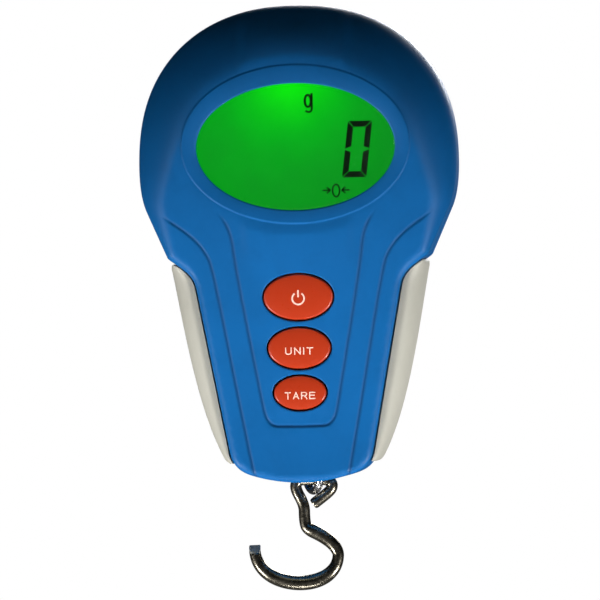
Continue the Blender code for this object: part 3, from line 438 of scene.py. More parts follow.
def all_materials():
    paints = {name: moulded(name, srgb(*color), roughness, **rest)
              for name, (color, roughness, rest) in PLASTICS.items()}
    # painted shade in the case's grooves
    paint_groove_shade(paints["case_blue"])
    for make in (window_clear, lcd_glass, board_green, black_nickel, cut_wire, battery_jacket):
        paints[make.__name__] = make()
    paints["legend"] = legend_ink()
    paints["bright_steel"] = brushed("bright_steel", srgb(186, 188, 191), 0.2, (1, 1, 0.12))
    paints["aluminium"] = brushed("aluminium", srgb(200, 202, 206), 0.3, (1, 1, 0.08))
    paints["light_guide"] = glowing("light_guide", (2.0,), srgb(120, 230, 120), srgb(150, 240, 150),
                                    (4.0,), (0.0, 0.5, 0.02, 1), (0.0, 0.7, 0.03, 1), 0.3, 0.5)
    # liquid crystal that is switched on lets very little of the green through
    ink = srgb(4, 14, 6)
    paints["lcd_on"] = glowing("lcd_on", (0.8, 3.0), ink, shaded(ink, 1.6),
                               (2.0, 3.0), (0.0, 0.004, 0.0004, 1), (0.0, 0.0056, 0.0004, 1), 0.4, 1.0)
    return {name: paint.material for name, paint in paints.items()}


MATERIALS = all_materials()


def repaint_nodes():
    """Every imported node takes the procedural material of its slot."""
    for part in frame["record"]["subparts"]:
        for slot in NODES[part["node"]].material_slots:
            slot.material = MATERIALS[part["material_slot"]]


# ---------------------------------------------------------------- mesh helpers

def add_piece(name, mesh, body, slot, replaced=(), material=None):
    """Links a mesh in millimetres as a piece that rides on a body."""
    mesh.transform(Matrix.Scale(MM, 4))
    obj = linked(name, mesh)
    mesh.materials.clear()
    mesh.materials.append(MATERIALS[material or slot])
    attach(obj, body)
    if replaced:
        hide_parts(*replaced)
    return obj


def smooth(mesh, angle):
    mesh.shade_smooth()
    mesh.set_sharp_from_angle(angle=math.radians(angle))
    return mesh


def faced(name, vertices, faces):
    """A mesh of vertices and faces, with its normals outward."""
    mesh = bpy.data.meshes.new(name)
    mesh.from_pydata([tuple(v) for v in vertices], [], [tuple(f) for f in faces])
    bm = bmesh.new()
    bm.from_mesh(mesh)
    return finished(name, bm, outward=True)


def strip(a, b, count):
    """Four-sided faces between two closed rows of equally many points that start at a and b."""
    pairs = [(i, (i + 1) % count) for i in range(count)]
    return [(a + i, a + j, b + j, b + i) for i, j in pairs]


def around(count):
    """Even angles of a whole turn."""
    return [2 * math.pi * i / count for i in range(count)]


def loft(name, rings, angle=40.0, caps=(True, True)):
    """A mesh through rings of equally many points. A ring of one point closes an end."""
    vertices, starts = [], []
    for ring in rings:
        starts.append(len(vertices))
        vertices.extend(ring)
    faces = []
    for (a, lower), (b, upper) in zip(zip(starts, rings), zip(starts[1:], rings[1:])):
        count = max(len(lower), len(upper))
        for i in range(count):
            j = (i + 1) % count
            if len(lower) == 1:
                faces.append((a, b + j, b + i))
            elif len(upper) == 1:
                faces.append((a + i, a + j, b))
            else:
                faces.append((a + i, a + j, b + j, b + i))
    for wanted, start, ring in zip(caps, (starts[0], starts[-1]), (rings[0], rings[-1])):
        if wanted and len(ring) > 1:
            faces.append(range(start, start + len(ring)))
    return smooth(faced(name, vertices, faces), angle)


def turned(name, profile, to_world, sides):
    """A turned mesh: the profile holds (radius, height), and to_world maps its own (x, y, height)."""
    rings = []
    for radius, height in profile:
        turn = around(sides) if radius > 0 else [0.0]
        rings.append([to_world(radius * math.cos(a), radius * math.sin(a), height) for a in turn])
    return loft(name, rings, 35.0, caps=(False, False))


def bezier(points, steps):
    """Points along a Bezier curve, leaving out the last."""
    degree = len(points) - 1
    found = []
    for i in range(steps):
        t = i / steps
        weights = [math.comb(degree, k) * (1 - t) ** (degree - k) * t**k for k in range(degree + 1)]
        found.append(tuple(sum(w * p[a] for w, p in zip(weights, points)) for a in range(2)))
    return found


def chained(start, *curves):
    """Bezier curves in a row, each given by its steps and its points after the start."""
    found = []
    for steps, *points in curves:
        found += bezier([start, *points], steps)
        start = points[-1]
    return found


def mirrored(path):
    return [(-x, z) for x, z in path]


def resampled(path, pitch, closed=False):
    """Points at even steps of about pitch along a polyline."""
    path = np.array(path, float)
    if closed:
        path = np.vstack([path, path[:1]])
    run = np.concatenate([[0], np.cumsum(np.linalg.norm(np.diff(path, axis=0), axis=1))])
    count = max(2, int(round(run[-1] / pitch)))
    at = np.linspace(0, run[-1], count + 1)
    if closed:
        at = at[:-1]
    return np.column_stack([np.interp(at, run, path[:, axis]) for axis in range(path.shape[1])])


def ellipse(half_width, half_height, center_z, pitch=0.6, grow=0.0):
    rough = 2 * math.pi * math.sqrt((half_width**2 + half_height**2) / 2)
    turn = np.linspace(0, 2 * math.pi, max(16, int(rough / pitch)) * 4, endpoint=False)
    normal = np.column_stack([half_height * np.cos(turn), half_width * np.sin(turn)])
    normal /= np.linalg.norm(normal, axis=1)[:, None]
    points = np.column_stack([half_width * np.cos(turn), center_z + half_height * np.sin(turn)])
    return resampled(points + normal * grow, pitch, closed=True)


def beside(path, offset):
    """The polyline moved sideways by an offset."""
    ahead = np.gradient(path, axis=0)
    ahead /= np.linalg.norm(ahead, axis=1)[:, None] + 1e-9
    return path + np.column_stack([-ahead[:, 1], ahead[:, 0]]) * offset


# ---------------------------------------------------------------- case outline

def bottom_arc(x):
    return CASE_BOTTOM + BOTTOM_RADIUS - math.sqrt(BOTTOM_RADIUS**2 - x * x)


def right_half_outline():
    points = []
    for i in range(60):
        angle = math.pi / 2 * (1 - i / 60)
        power = 2 / HEAD_POWER
        points.append((HEAD_HALF_WIDTH * math.cos(angle) ** power, HEAD_HEIGHT * math.sin(angle) ** power))
    points += chained(
        (HEAD_HALF_WIDTH, 0),
        (20, (HEAD_HALF_WIDTH, -6.5), (40.6, -10.2), (39.6, -12.6)),
        (20, (36.8, -18.8), (33.9, -25.2)),
        (20, (30.6, -27.7), (27.2, -29.2), (26.5, -33.4)),
        (20, (22.55, -54.8), (18.6, -76.2)),
        (20, (17.6, -80.6), (14.5, -81.6), (11.5, bottom_arc(11.5))))
    points += [(x, bottom_arc(x)) for x in np.linspace(11.5, 0.0, 12)]
    return points


def case_outline(pitch=OUTLINE_PITCH):
    """Even points round the case, clockwise from the top middle, and the normals that point out of it.

    Over the round opening in the bottom they follow the opening's own steps, so that its rim is round.
    """
    right = right_half_outline()
    path = resampled(right + mirrored(right[-2:0:-1]), pitch, closed=True)
    over = (path[:, 1] < NEAR_BOTTOM) & (abs(path[:, 0] - LOAD_X) < OPENING_RADIUS + 0.3)
    first = int(np.argmax(over))
    across = [LOAD_X + OPENING_RADIUS * math.cos(a) for a in np.linspace(0, math.pi, 33)]
    rim = np.array([(x, bottom_arc(x)) for x in across])
    path = np.vstack([path[:first], rim, path[first:][~over[first:]]])
    ahead = np.roll(path, -1, axis=0) - np.roll(path, 1, axis=0)
    normals = np.column_stack([-ahead[:, 1], ahead[:, 0]]) / np.linalg.norm(ahead, axis=1)[:, None]
    return path, normals


OUTLINE, OUTLINE_NORMALS = case_outline()


def nearest_on(path, points, closed=False):
    """Distance from each point to a polyline, the segment it is nearest to and how far along that it lies."""
    ahead = np.roll(path, -1, axis=0) if closed else path[1:]
    start = path if closed else path[:-1]
    run = ahead - start
    size = (run**2).sum(1) + 1e-12
    best = np.full(len(points), np.inf)
    segment = np.zeros(len(points), int)
    share = np.zeros(len(points))
    for low in range(0, len(points), 4000):  # a few thousand at a time, to spare memory
        rows = slice(low, low + 4000)
        part = points[rows]
        offset = part[:, None, :] - start[None, :, :]
        along = np.clip((offset * run[None]).sum(2) / size, 0, 1)
        gap = np.linalg.norm(offset - along[..., None] * run[None], axis=2)
        index = gap.argmin(1)
        each = np.arange(len(part))
        best[rows], segment[rows], share[rows] = gap[each, index], index, along[each, index]
    return best, segment, share


def smoothstep(value):
    value = np.clip(value, 0.0, 1.0)
    return value * value * (3 - 2 * value)


def edge_at(edge, z, normal_z, offset):
    """Reach, fall and power of the rounded edge at points of the outline, offset under the surface."""
    share = smoothstep((z - LOWER_EDGE_Z) / (HEAD_EDGE_Z - LOWER_EDGE_Z))
    reach, fall, power, stretch = (low + (high - low) * share for low, high in zip(LOWER_EDGE, edge))
    reach = reach * (1 + stretch * np.maximum(normal_z, 0.0))
    return np.maximum(reach - offset, LEAST_EDGE), np.maximum(fall - offset, LEAST_EDGE), power


def edge_rings(edge, depth, offset, steps):
    """Rings over the rounded edge, from the side wall to the flat face, as arrays of (x, height, z)."""
    reach, fall, power = edge_at(edge, OUTLINE[:, 1], OUTLINE_NORMALS[:, 1], offset)
    rings = []
    for k in range(steps + 1):
        angle = math.pi / 2 * k / steps
        inset = offset + reach * (1 - max(math.cos(angle), 0.0) ** (2 / power))
        drop = fall * (1 - math.sin(angle) ** (2 / power))
        flat = OUTLINE - OUTLINE_NORMALS * inset[:, None]
        rings.append(np.column_stack([flat[:, 0], depth - offset - drop, flat[:, 1]]))
    return rings


# ---------------------------------------------------------------- front shell

def ellipse_distance(points, half, center_z):
    """About how far points lie outside an ellipse; negative inside."""
    x, z = points[:, 0], points[:, 1] - center_z
    level = (x / half[0]) ** 2 + (z / half[1]) ** 2
    slope = 2 * np.sqrt((x / half[0] ** 2) ** 2 + (z / half[1] ** 2) ** 2) + 1e-9
    return (level - 1) / slope


def groove_routes():
    """Centrelines of the shallow grooves: a U round the keys and a line down each side of it."""
    right = chained(
        (21.0, -13.0),
        (12, (18.9, -15.4), (17.5, -17.3), (16.8, -22.5)),
        (40, (16.3, -28.0), (13.4, -43.6), (9.9, -63.0)),
        (12, (9.2, -67.2), (8.3, -69.2), (5.2, -69.2)))
    inner = right + [(0.0, -69.3)] + mirrored(right[::-1])
    outer = chained(
        (36.0, -13.4),
        (24, (31.0, -17.1), (26.0, -19.4), (23.2, -25.4)),
        (60, (21.6, -29.2), (18.6, -49.0), (12.7, -80.0)))
    outer += [(12.6, -80.5), (12.0, -84.0)]
    return [resampled(route, 0.6) for route in (inner, outer, mirrored(outer))]


GROOVES = groove_routes()
GROOVE_DEPTH, GROOVE_WIDTH = 0.22, 0.40
BEZEL_STEP, BEZEL_DISH = 0.26, 0.85
DOME_STEPS, FACE_START = 14, 7  # rings of a whole domed edge, and the ring where the triangulated face begins
LIP = 0.35  # rounding of the edges of the openings


def lip_drop(distance):
    """How far a rounded edge of an opening has fallen, this far outside the opening."""
    inside = np.clip(1 - distance / LIP, 0, 1)
    return LIP * (1 - np.sqrt(np.maximum(1 - inside**2, 0.0)))


def groove_share(points):
    """How deep in a groove each point lies, from 0 to 1."""
    share = np.zeros(len(points))
    for route in GROOVES:
        gap, _, _ = nearest_on(route, points)
        start = np.linalg.norm(points - route[0], axis=1)
        end = np.linalg.norm(points - route[-1], axis=1)
        fade = smoothstep(np.minimum(start, end) / 5.0) if route is GROOVES[0] else smoothstep(start / 5.0)
        share += fade * np.exp(-(gap / GROOVE_WIDTH) ** 2)
    return np.minimum(share, 1.0)


def front_relief(points):
    """Height of the moulded detail above the plain front surface."""
    height = -GROOVE_DEPTH * groove_share(points)
    ring = ellipse_distance(points, BEZEL_HALF, BEZEL_Z)
    height += BEZEL_STEP * smoothstep(0.5 - ring / 0.5)
    window = ellipse_distance(points, WINDOW_HALF, WINDOW_Z)
    height -= BEZEL_DISH * np.clip(1 - window / 4.0, 0, 1) ** 1.5
    height -= lip_drop(window)
    for half, z in KEY_HOLES:
        height -= lip_drop(ellipse_distance(points, half, z))
    inside_u = smoothstep((15.5 - np.abs(points[:, 0])) / 3.0)
    height += 0.45 * inside_u * smoothstep((points[:, 1] + 31.0) / 12.0) * smoothstep(ring / 3.0)
    below = smoothstep((9.0 - np.abs(points[:, 0])) / 3.0) * smoothstep((-62.0 - points[:, 1]) / 4.0)
    below *= smoothstep((points[:, 1] + 69.6) / 0.8) * smoothstep((-64.0 - points[:, 1]) / 4.5)
    height -= 0.16 * below
    return height


def relief_slope(points, step=0.02):
    slopes = []
    for shift in ((step, 0.0), (0.0, step)):
        change = front_relief(points + shift) - front_relief(points - np.array(shift))
        slopes.append(change / (2 * step))
    return np.column_stack(slopes)


def plain_edge(points, offset=0.0):
    """How far the plain front surface has fallen at points near its edge, and its slope there in (x, z)."""
    gap, segment, share = nearest_on(OUTLINE, points, closed=True)
    after = (segment + 1) % len(OUTLINE)
    share = share[:, None]
    normal = OUTLINE_NORMALS[segment] * (1 - share) + OUTLINE_NORMALS[after] * share
    height = OUTLINE[segment, 1] * (1 - share[:, 0]) + OUTLINE[after, 1] * share[:, 0]
    reach, fall, power = edge_at(FRONT_EDGE, height, normal[:, 1], offset)
    t = np.clip(1 - (gap - offset) / reach, 0.0, 0.99999)
    drop = fall * (1 - (1 - t**power) ** (1 / power))
    steep = fall / reach * t ** (power - 1) * (1 - t**power) ** (1 / power - 1)
    return drop, -normal * np.where(t > 0, steep, 0.0)[:, None]


def inside_polygon(points, polygon):
    x, z = points[:, 0][:, None], points[:, 1][:, None]
    x0, z0 = polygon[:, 0][None], polygon[:, 1][None]
    x1, z1 = np.roll(polygon[:, 0], -1)[None], np.roll(polygon[:, 1], -1)[None]
    crosses = (z0 > z) != (z1 > z)
    at = x0 + (z - z0) * (x1 - x0) / np.where(z1 == z0, 1e-12, z1 - z0)
    return (crosses & (x < at)).sum(1) % 2 == 1


def on_face(points, boundary, openings):
    keep = inside_polygon(points, boundary)
    for opening in openings:
        keep &= ~inside_polygon(points, opening)
    return keep


def front_openings():
    """Edges of the window and of the three key openings."""
    return [ellipse(*half, z, 0.5) for half, z in [(WINDOW_HALF, WINDOW_Z), *KEY_HOLES]]


def seeds(boundary, openings):
    """Inner points of the front face: dense along bezel, grooves and openings, an even grid between."""
    rows = []
    for grow in (0.0, 0.12, -0.12, 0.26, -0.26, 0.5, -0.5, 0.9, -0.9):
        rows.append((ellipse(*BEZEL_HALF, BEZEL_Z, 0.5, grow), 0.10))
    for grow in (0.08, 0.18, 0.3, 0.5, 0.9, 1.6, 2.6):
        rows.append((ellipse(*WINDOW_HALF, WINDOW_Z, 0.55, grow), 0.06))
        for half, z in KEY_HOLES:
            if grow < 1.0:
                rows.append((ellipse(*half, z, 0.55, grow), 0.06))
    for route in GROOVES:
        for offset in (0.0, 0.16, -0.16, 0.34, -0.34, 0.56, -0.56, 0.85, -0.85):
            rows.append((beside(route, offset), 0.12))
    pitch = 1.3
    columns = np.arange(-HEAD_HALF_WIDTH, HEAD_HALF_WIDTH, pitch)
    for i, z in enumerate(np.arange(CASE_BOTTOM, HEAD_HEIGHT, pitch * 0.866)):
        rows.append((np.column_stack([columns + (i % 2) * pitch / 2, np.full(len(columns), z)]), 0.7))
    fixed = np.vstack([boundary, *openings])
    candidates = np.vstack([row for row, _ in rows])
    margins = np.concatenate([np.full(len(row), margin) for row, margin in rows])
    keep = on_face(candidates, boundary, openings)
    candidates, margins = candidates[keep], margins[keep]
    accepted = []
    grid = {}
    cell = 0.75

    def crowded(point, margin):
        column, row = int(point[0] // cell), int(point[1] // cell)
        for i in (-1, 0, 1):
            for j in (-1, 0, 1):
                for other in grid.get((column + i, row + j), ()):
                    if (other[0] - point[0]) ** 2 + (other[1] - point[1]) ** 2 < margin * margin:
                        return True
        return False

    def settle(point):
        grid.setdefault((int(point[0] // cell), int(point[1] // cell)), []).append(point)

    for point in fixed:
        settle(tuple(point))
    for point, margin in zip(candidates, margins):
        point = tuple(point)
        if not crowded(point, margin):
            settle(point)
            accepted.append(point)
    return accepted


def front_face(boundary, openings):
    """Points and triangles of the front face between its boundary ring and its openings. The first points are
    the boundary's and then the openings'."""
    points, edges = [], []
    for loop in (boundary, *openings):
        first = len(points)
        points += [tuple(p) for p in loop]
        edges += [(first + i, first + (i + 1) % len(loop)) for i in range(len(loop))]
    points += seeds(boundary, openings)
    found = delaunay_2d_cdt([Vector(p) for p in points], edges, [], 0, 1e-6)
    flat = np.array([tuple(v) for v in found[0]])
    triangles = np.array([f for f in found[2] if len(f) == 3])
    return flat, triangles[on_face(flat[triangles].mean(1), boundary, openings)]


def side_wall(rim_height):
    """Rows of the side wall from the parting plane, where it has a small chamfer, up to the domed edge.

    The wall leaves a round opening for the load eye in the bottom.
    """
    reach = np.sqrt(np.maximum(OPENING_RADIUS**2 - (OUTLINE[:, 0] - LOAD_X) ** 2, 0.0))
    low = np.where(OUTLINE[:, 1] < NEAR_BOTTOM, np.maximum(GAP / 2, reach - LOAD_Y), GAP / 2)
    rows = []
    for share, inset in ((0.0, PARTING_CHAMFER), (0.02, 0.08), (0.04, 0.0), (0.4, 0.0), (0.75, 0.0)):
        place = OUTLINE - OUTLINE_NORMALS * inset
        rows.append(np.column_stack([place[:, 0], low + (rim_height - low) * share, place[:, 1]]))
    place = OUTLINE - OUTLINE_NORMALS * SKIN
    return rows, np.column_stack([place[:, 0], low, place[:, 1]])


def front_shell():
    """The front half as one closed skin: side wall, domed edge, face with its relief, and the inner side."""
    count = len(OUTLINE)
    outer = edge_rings(FRONT_EDGE, FRONT_DEPTH, 0.0, DOME_STEPS)[:FACE_START + 1]
    inner = edge_rings(FRONT_EDGE, FRONT_DEPTH, SKIN, DOME_STEPS)[:FACE_START + 1]
    boundary = outer[-1][:, [0, 2]]
    openings = front_openings()
    flat, triangles = front_face(boundary, openings)
    rows, inner_row = side_wall(outer[0][:, 1])
    vertices, faces, normals = [], [], []

    def put(ring, slopes, side):
        first = len(vertices)
        vertices.extend((x, -height, z) for x, height, z in ring)
        normals.extend((side * -sx, side * -1.0, side * -sz) for sx, sz in slopes)
        return first

    sideways = -OUTLINE_NORMALS * 1e4  # so steep that the normals lie level
    outer_starts = [put(row, sideways, 1) for row in rows]
    for ring in outer[:-1]:
        place = ring[:, [0, 2]]
        raised = ring + np.column_stack([np.zeros(count), front_relief(place), np.zeros(count)])
        outer_starts.append(put(raised, plain_edge(place)[1] + relief_slope(place), 1))
    drop, slope = plain_edge(flat)
    face = np.column_stack([flat[:, 0], FRONT_DEPTH - drop + front_relief(flat), flat[:, 1]])
    face_start = put(face, slope + relief_slope(flat), 1)
    inner_starts = [put(inner_row, sideways, -1)]
    inner_starts += [put(ring, plain_edge(ring[:, [0, 2]], SKIN)[1], -1) for ring in inner[:-1]]
    # the inner side of the face: the same points, drawn in a little near the boundary to meet the inner rings
    gap, segment, _ = nearest_on(boundary, flat, closed=True)
    shift = np.linalg.norm(inner[-1] - outer[-1], axis=1)[segment] * np.clip(1 - gap / 3.0, 0, 1)
    lower = flat - OUTLINE_NORMALS[segment] * shift[:, None]
    lower[:count] = inner[-1][:, [0, 2]]
    drop, slope = plain_edge(lower, SKIN)
    back_start = put(np.column_stack([lower[:, 0], FRONT_DEPTH - SKIN - drop, lower[:, 1]]), slope, -1)
    for starts, last in ((outer_starts, face_start), (inner_starts, back_start)):
        for a, b in zip(starts, starts[1:] + [last]):
            faces += strip(a, b, count)
    for a, b, c in triangles:
        faces.append((face_start + a, face_start + b, face_start + c))
        faces.append((back_start + a, back_start + c, back_start + b))
    first_rim = len(faces)
    faces += strip(outer_starts[0], inner_starts[0], count)
    first = count
    for opening in openings:
        faces += strip(face_start + first, back_start + first, len(opening))
        first += len(opening)
    mesh = faced("front_shell", vertices, faces)
    mesh.shade_smooth()
    normals = np.array(normals, float)
    normals /= np.linalg.norm(normals, axis=1)[:, None]
    corner_normals = normals[[loop.vertex_index for loop in mesh.loops]]
    for polygon in mesh.polygons[first_rim:]:
        for loop in polygon.loop_indices:
            corner_normals[loop] = polygon.normal
    mesh.normals_split_custom_set(corner_normals.tolist())
    place = np.array(vertices)
    # where the grooves get their painted shade, kept on the mesh for the blue material
    shade = groove_share(place[:, [0, 2]]) * (place[:, 1] < 3.0 - FRONT_DEPTH)
    mesh.attributes.new("groove", "FLOAT", "POINT").data.foreach_set("value", shade)
    return add_piece("front_shell", mesh, "case", "case_blue", ["front_case"])


# ---------------------------------------------------------------- rear shell and door

def helper(name, mesh):
    """A hidden cutter or filler in millimetres."""
    mesh.transform(Matrix.Scale(MM, 4))
    return linked(name, mesh)


def rounded_box(low, high, radius=0.0):
    bm = bmesh.new()
    bmesh.ops.create_cube(bm, size=1.0)
    size = [b - a for a, b in zip(low, high)]
    bmesh.ops.scale(bm, verts=bm.verts, vec=size)
    bmesh.ops.translate(bm, verts=bm.verts, vec=[(a + b) / 2 for a, b in zip(low, high)])
    if radius:
        bmesh.ops.bevel(bm, geom=bm.edges, offset=radius, segments=3, profile=0.5, affect="EDGES")
    return finished("box", bm)


def rod(radius, start, end, at, axis="Y", sides=40):
    """A cylinder between two heights along Y or Z."""
    places = {"Y": lambda x, y, h: (at[0] + x, h, at[1] + y), "Z": lambda x, y, h: (at[0] + x, at[1] + y, h)}
    return turned("rod", [(0, start), (radius, start), (radius, end), (0, end)], places[axis], sides)


def joined(name, meshes):
    """One mesh of several that don't touch."""
    bm = bmesh.new()
    for mesh in meshes:
        bm.from_mesh(mesh)
    return finished(name, bm)


def carved(name, mesh, cuts, fills=(), angle=30.0):
    """The mesh with solids cut out of it and others added, applied, with clean normals."""
    target = helper(name, mesh)
    tools = [("DIFFERENCE", m) for m in cuts] + [("UNION", m) for m in fills]
    helpers = []
    for operation, tool in tools:
        modifier = target.modifiers.new(operation, "BOOLEAN")
        modifier.operation = operation
        modifier.object = helper("tool", tool)
        helpers.append(modifier.object)
    graph = bpy.context.evaluated_depsgraph_get()
    result = bpy.data.meshes.new_from_object(target.evaluated_get(graph))
    for obj in [target, *helpers]:
        bpy.data.objects.remove(obj, do_unlink=True)
    result.transform(Matrix.Scale(1 / MM, 4))
    return smooth(result, angle)


def rear_solid(name, offset, start):
    """The rear half's outer shape, drawn in by offset, from a depth on."""
    rings = edge_rings(REAR_EDGE, REAR_DEPTH, offset, 9)
    place = OUTLINE - OUTLINE_NORMALS * offset
    rings.insert(0, np.column_stack([place[:, 0], np.full(len(place), start), place[:, 1]]))
    return loft(name, rings)


def rear_shell():
    """The rear half: its cavity, the battery bay, screw wells and the opening in the bottom."""
    whole = rear_solid("rear", 0.0, GAP / 2)
    cavity = rear_solid("rear_cavity", REAR_WALL, -2.0)
    keep = [rounded_box((-BAY_HALF_WIDTH - BAY_WALL, BAY_FLOOR - BAY_WALL, BAY_BOTTOM - BAY_WALL),
                        (BAY_HALF_WIDTH + BAY_WALL, REAR_DEPTH + 1, BAY_TOP + BAY_WALL))]
    keep += [rod(SCREW_BOSS, -3.0, REAR_DEPTH + 1, at) for at in CASE_SCREWS]
    cavity = carved("rear_cavity", cavity, [joined("kept", keep)])
    bay = rounded_box((-BAY_HALF_WIDTH, BAY_FLOOR, BAY_BOTTOM),
                      (BAY_HALF_WIDTH, REAR_DEPTH + 2, BAY_TOP))
    notch = rounded_box((-6, 11, BAY_BOTTOM - 3.9), (6, REAR_DEPTH + 2, BAY_BOTTOM + 1))
    slots = [rounded_box((x - 2.5, 9.8, BAY_TOP - 1), (x + 2.5, 12.6, BAY_TOP + 2.3)) for x in DOOR_TABS]
    wells = []
    for x, z in CASE_SCREWS:
        profile = [(0, -3), (SCREW_HOLE, -3), (SCREW_HOLE, SCREW_SEAT), (SCREW_WELL, SCREW_SEAT),
                   (SCREW_WELL, REAR_DEPTH + 3), (0, REAR_DEPTH + 3)]
        wells.append(turned("well", profile, lambda u, v, h, x=x, z=z: (x + u, h, z + v), 48))
    opening = rod(OPENING_RADIUS, -92, -79, (LOAD_X, LOAD_Y), "Z", 64)
    cuts = [cavity, bay, notch, joined("slots", slots), joined("wells", wells), opening]
    mesh = carved("rear_shell", whole, cuts)
    shell = add_piece("rear_shell", mesh, "case", "case_blue", ["rear_case"])
    bevel = shell.modifiers.new("edges", "BEVEL")
    bevel.width, bevel.segments, bevel.angle_limit = 0.25 * MM, 2, math.radians(55)
    bevel.use_clamp_overlap = True
    # large flat faces keep their own normal where they meet rounded edges
    weighted = shell.modifiers.new("normals", "WEIGHTED_NORMAL")
    weighted.keep_sharp, weighted.weight = True, 100


def seam_tongue():
    """A tongue on the rear half laps the parting line inside, and stops short of the load eye's opening."""
    over = (OUTLINE[:, 1] < NEAR_BOTTOM) & (abs(OUTLINE[:, 0] - LOAD_X) < OPENING_RADIUS + 1.0)
    start = np.flatnonzero(over)[-1] + 1
    order = [i % len(OUTLINE) for i in range(start, start + len(OUTLINE)) if not over[i % len(OUTLINE)]]
    rings = []
    for i in order:
        corners = ((1.3, -1.3), (1.3, 0.5), (2.1, 0.5), (2.1, -1.3))
        place = [(OUTLINE[i] - OUTLINE_NORMALS[i] * offset, y) for offset, y in corners]
        rings.append([(x, y, z) for (x, z), y in place])
    add_piece("seam_tongue", loft("seam_tongue", rings), "case", "case_blue")


def door_relief(x, z, bottom):
    """The door's outer face: finger ribs near its lower edge and an arrow above them."""
    height = 0.0
    for i in range(6):
        rib_z = bottom + 3.2 + 1.5 * i
        along = smoothstep((9.5 - abs(x)) / 1.2)
        height -= 0.45 * along * np.exp(-((z - rib_z) / 0.42) ** 2)
    top = bottom + 18.5
    inside = np.minimum(top - z, (z - (top - 5.0)) * 0.55 - abs(x))
    height -= 0.35 * smoothstep(inside / 0.25 + 0.5)
    return height


def door_steps(low, high, pitch):
    """Steps across the door, closer together over its rounded edges."""
    inner = np.arange(low + DOOR_EDGE, high - DOOR_EDGE, pitch)
    third = DOOR_EDGE * 0.3
    return np.concatenate([[low, low + third], inner, [high - DOOR_EDGE, high - third, high]])


def battery_door():
    """The door with its relief, two upper tabs and its latch tongue."""
    low = (-BAY_HALF_WIDTH + GAP, BAY_BOTTOM + GAP)
    high = (BAY_HALF_WIDTH - GAP, BAY_TOP - GAP)
    xs, zs = door_steps(low[0], high[0], 0.4), door_steps(low[1], high[1], 0.3)
    bm = bmesh.new()
    top, bottom = [], []
    for x in xs:
        top_row, bottom_row = [], []
        for z in zs:
            gap = min(x - low[0], high[0] - x, z - low[1], high[1] - z)
            round_off = DOOR_EDGE - math.sqrt(max(DOOR_EDGE**2 - max(DOOR_EDGE - gap, 0) ** 2, 0.0))
            y = REAR_DEPTH - round_off + float(door_relief(x, z, low[1])) * min(1.0, gap / 2)
            top_row.append(bm.verts.new((x, y, z)))
            bottom_row.append(bm.verts.new((x, REAR_DEPTH - DOOR_THICKNESS, z)))
        top.append(top_row)
        bottom.append(bottom_row)
    for i in range(len(xs) - 1):
        for j in range(len(zs) - 1):
            bm.faces.new((top[i][j], top[i][j + 1], top[i + 1][j + 1], top[i + 1][j]))
            bm.faces.new((bottom[i][j], bottom[i + 1][j], bottom[i + 1][j + 1], bottom[i][j + 1]))
    rim = [(i, 0) for i in range(len(xs))] + [(len(xs) - 1, j) for j in range(1, len(zs))]
    rim += [(i, len(zs) - 1) for i in range(len(xs) - 2, -1, -1)]
    rim += [(0, j) for j in range(len(zs) - 2, 0, -1)]
    for (i, j), (k, m) in zip(rim, rim[1:] + rim[:1]):
        bm.faces.new((top[i][j], top[k][m], bottom[k][m], bottom[i][j]))
    mesh = finished("door", bm, outward=True)
    fills = []
    for x in DOOR_TABS:
        fills.append(rounded_box((x - 2, 10.7, 16.9), (x + 2, 13.0, 18.4)))
        fills.append(rounded_box((x - 2, 10.7, 17.6), (x + 2, 11.9, 20.4), 0.25))
    fills.append(rounded_box((-5, 12.7, BAY_BOTTOM - 3.2), (5, 14.0, BAY_BOTTOM + 1.5), 0.3))
    mesh = carved("battery_door", mesh, [], fills, 50.0)
    add_piece("door", mesh, "battery_door", "case_blue", ["battery_door"])


def screws():
    """Pan-head screws with a cross recess, each in its well."""
    head = [(0, 2.0), (1.0, 1.97), (1.9, 1.72), (2.4, 1.25), (2.6, 0.7), (2.6, 0.0), (1.4, 0.0)]
    thread = []
    height = 0.0
    while height > -12.6:
        thread += [(1.15, height - 0.15), (1.4, height - 0.4), (1.4, height - 0.5), (1.15, height - 0.75)]
        height -= 0.9
    profile = head + thread + [(1.1, -13.2), (0.0, -14.4)]
    seat = SCREW_SEAT + GAP
    for i, (x, z) in enumerate(CASE_SCREWS):
        turn = math.radians(17 + 31 * i)
        blades = []
        for quarter in (0.0, math.pi / 2):
            blade = rounded_box((-1.35, 0.9, -0.3), (1.35, 4.0, 0.3))
            blade.transform(Matrix.Translation((x, seat, z)) @ Matrix.Rotation(turn + quarter, 4, "Y"))
            blades.append(blade)
        mesh = turned("screw", profile, lambda u, v, h, x=x, z=z: (x + u, seat + h, z + v), 36)
        mesh = carved("screw", mesh, blades, (), 32.0)
        add_piece(f"fine_case_screw_{i + 1}", mesh, "case", "bright_steel", [f"case_screw_{i + 1}"])


# ---------------------------------------------------------------- grips

def flank_x(z):
    """Half width of the blue case beside the grips."""
    right = np.array([p for p in right_half_outline() if p[1] <= -25.0])
    return float(np.interp(-z, -right[:, 1], right[:, 0]))


def grip_outer_x(z):
    end = (19.9, GRIP_BOTTOM)
    curve = np.array(bezier([(33.9, -26.0), (30.8, -42.0), (27.6, -66.0), end], 80) + [end])
    return float(np.interp(-z, -curve[:, 1], curve[:, 0]))


